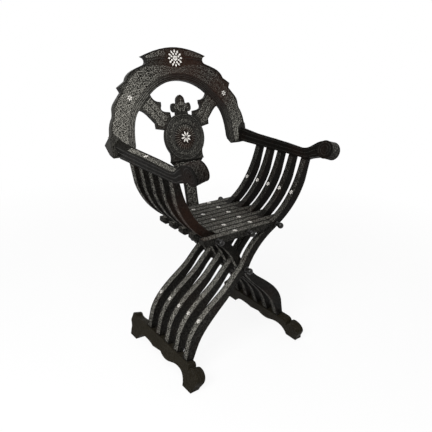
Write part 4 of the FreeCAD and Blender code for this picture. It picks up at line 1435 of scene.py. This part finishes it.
def floor_material(paper):
    """Pale paper that takes the shadow near the chair and is plain white to the camera farther off."""
    material = bpy.data.materials.new("white_paper")
    material.use_nodes = True
    tree = material.node_tree
    shader = tree.nodes["Principled BSDF"]
    shader.inputs["Base Color"].default_value = paper
    shader.inputs["Roughness"].default_value = 0.9
    glow = node_of(tree, "ShaderNodeEmission", Strength=1.0)
    glow.inputs["Color"].default_value = (1, 1, 1, 1)
    place = tree.nodes.new("ShaderNodeTexCoord").outputs["Object"]
    shaded = product(tree, ramp(tree, near(tree, place, (0, 0, 0), SHADOW_REACH), 0, 0.5), -SHADOW_SHARE)
    white_share = product(tree, seen_rays(tree), combined(tree, "ADD", shaded, 1.0))
    blend = tree.nodes.new("ShaderNodeMixShader")
    for socket, output in zip(blend.inputs, (white_share, shader.outputs[0], glow.outputs[0])):
        tree.links.new(output, socket)
    tree.links.new(blend.outputs[0], tree.nodes["Material Output"].inputs[0])
    return material


def make_floor():
    """The plain floor."""
    bpy.ops.object.select_all(action="DESELECT")
    bpy.ops.mesh.primitive_plane_add(size=FLOOR_SIZE)
    floor = bpy.context.object
    floor.name = "floor"
    paint(floor, floor_material(bpy.context.scene.chair_colours.paper))


def make_lights():
    """The white backdrop, the room's even light and the lamps."""
    world = bpy.data.worlds.new("studio")
    bpy.context.scene.world = world
    world.use_nodes = True
    tree = world.node_tree
    backdrop = tree.nodes["Background"]
    backdrop.inputs["Color"].default_value = (1, 1, 1, 1)
    tree.links.new(ramp(tree, seen_rays(tree), 0, 1, ROOM_LIGHT, 1.0), backdrop.inputs["Strength"])
    for name, spot, energy, size in LAMPS:
        bpy.ops.object.light_add(type="AREA", location=spot)
        lamp = bpy.context.object
        lamp.name = name
        lamp.data.energy = energy
        lamp.data.size = size
        lamp.rotation_euler = (LAMP_AIM - Vector(spot)).to_track_quat("-Z", "Y").to_euler()


def make_camera():
    """The camera at the photograph's angle."""
    bpy.ops.object.camera_add()
    camera = bpy.context.object
    camera.name = "camera"
    bpy.context.scene.camera = camera
    turn, tilt, roll = (math.radians(angle) for angle in CAMERA_ANGLES)
    forward = Vector((math.sin(turn) * math.cos(tilt), math.cos(turn) * math.cos(tilt), -math.sin(tilt)))
    level = Vector((math.cos(turn), -math.sin(turn), 0))
    above = level.cross(forward)
    right = math.cos(roll) * level + math.sin(roll) * above
    up = -math.sin(roll) * level + math.cos(roll) * above
    turned = Matrix((right, up, -forward)).transposed().to_4x4()
    camera.matrix_world = Matrix.Translation(CAMERA_PLACE) @ turned
    camera.data.sensor_width = CAMERA_SENSOR
    camera.data.lens = CAMERA_LENS


def make_stage():
    """The floor, the backdrop, the lamps and the camera."""
    bpy.context.scene.view_settings.view_transform = "Standard"
    make_floor()
    make_lights()
    make_camera()


class MakeRibs(bpy.types.Operator):
    """Carve the ten ribs"""
    bl_idname = "chair.make_ribs"
    bl_label = "Ribs"

    def execute(self, context):
        make_ribs()
        return {"FINISHED"}


class MakeSlats(bpy.types.Operator):
    """Carve the ten seat slats"""
    bl_idname = "chair.make_slats"
    bl_label = "Seat slats"

    def execute(self, context):
        make_slats()
        return {"FINISHED"}


class MakeArms(bpy.types.Operator):
    """Shape and carve both arm rails"""
    bl_idname = "chair.make_arms"
    bl_label = "Arm rails"

    def execute(self, context):
        make_arms()
        return {"FINISHED"}


class MakeFeet(bpy.types.Operator):
    """Shape both foot rails"""
    bl_idname = "chair.make_feet"
    bl_label = "Foot rails"

    def execute(self, context):
        make_feet()
        return {"FINISHED"}


class MakeArch(bpy.types.Operator):
    """Carve the crest board and the stiles"""
    bl_idname = "chair.make_arch"
    bl_label = "Arch"

    def execute(self, context):
        make_arch()
        return {"FINISHED"}


class MakeBrackets(bpy.types.Operator):
    """Carve the two brackets"""
    bl_idname = "chair.make_brackets"
    bl_label = "Brackets"

    def execute(self, context):
        make_brackets()
        return {"FINISHED"}


class MakeMedallion(bpy.types.Operator):
    """Carve the medallion"""
    bl_idname = "chair.make_medallion"
    bl_label = "Medallion"

    def execute(self, context):
        make_medallion()
        return {"FINISHED"}


class MakeSplat(bpy.types.Operator):
    """Carve the lower splat"""
    bl_idname = "chair.make_splat"
    bl_label = "Lower splat"

    def execute(self, context):
        make_splat()
        return {"FINISHED"}


class MakeBackFinial(bpy.types.Operator):
    """Carve the ornament on the medallion"""
    bl_idname = "chair.make_back_finial"
    bl_label = "Back finial"

    def execute(self, context):
        make_back_finial()
        return {"FINISHED"}


class MakeCheeks(bpy.types.Operator):
    """Round the cheeks and the tongues"""
    bl_idname = "chair.make_cheeks"
    bl_label = "Cheeks and tongues"

    def execute(self, context):
        make_cheeks()
        return {"FINISHED"}


class MakeKnobs(bpy.types.Operator):
    """Turn the knobs of the rods"""
    bl_idname = "chair.make_knobs"
    bl_label = "Turned knobs"

    def execute(self, context):
        make_knobs()
        return {"FINISHED"}


class MakeStars(bpy.types.Operator):
    """Set the small stars"""
    bl_idname = "chair.make_stars"
    bl_label = "Small stars"

    def execute(self, context):
        make_stars()
        return {"FINISHED"}


class MakeBackInlay(bpy.types.Operator):
    """Set the rosette and stars of the back"""
    bl_idname = "chair.make_back_inlay"
    bl_label = "Back inlay"

    def execute(self, context):
        make_back_inlay()
        return {"FINISHED"}


class MakeStage(bpy.types.Operator):
    """Lay the floor and set the lamps and the camera"""
    bl_idname = "chair.make_stage"
    bl_label = "Stage"

    def execute(self, context):
        make_stage()
        return {"FINISHED"}


STEPS = (
    MakeRibs, MakeSlats, MakeArms, MakeFeet, MakeArch, MakeBrackets, MakeMedallion, MakeSplat, MakeBackFinial,
    MakeCheeks, MakeKnobs, MakeStars, MakeBackInlay, MakeStage,
)


class ChairPanel(bpy.types.Panel):
    """The chair's sizes, colours and pieces"""
    bl_idname = "VIEW3D_PT_chair"
    bl_label = "Savonarola Chair"
    bl_space_type = "VIEW_3D"
    bl_region_type = "UI"
    bl_category = "Chair"

    def draw(self, context):
        for group in (context.scene.chair_sizes, context.scene.chair_colours):
            for key in group.__annotations__:
                self.layout.prop(group, key)
        for step in STEPS:
            self.layout.operator(step.bl_idname)


CLASSES = (ChairSizes, ChairColours) + STEPS + (ChairPanel,)


def register():
    """Register the classes and the scene's settings."""
    for each in CLASSES:
        bpy.utils.register_class(each)
    bpy.types.Scene.chair_sizes = PointerProperty(type=ChairSizes)
    bpy.types.Scene.chair_colours = PointerProperty(type=ChairColours)


def unregister():
    """Take the classes and the scene's settings away again."""
    del bpy.types.Scene.chair_colours
    del bpy.types.Scene.chair_sizes
    for each in reversed(CLASSES):
        bpy.utils.unregister_class(each)


def main():
    """Make the chair."""
    register()
    for step in STEPS:
        group, name = step.bl_idname.split(".")
        getattr(getattr(bpy.ops, group), name)()


if __name__ == "__main__":
    main()
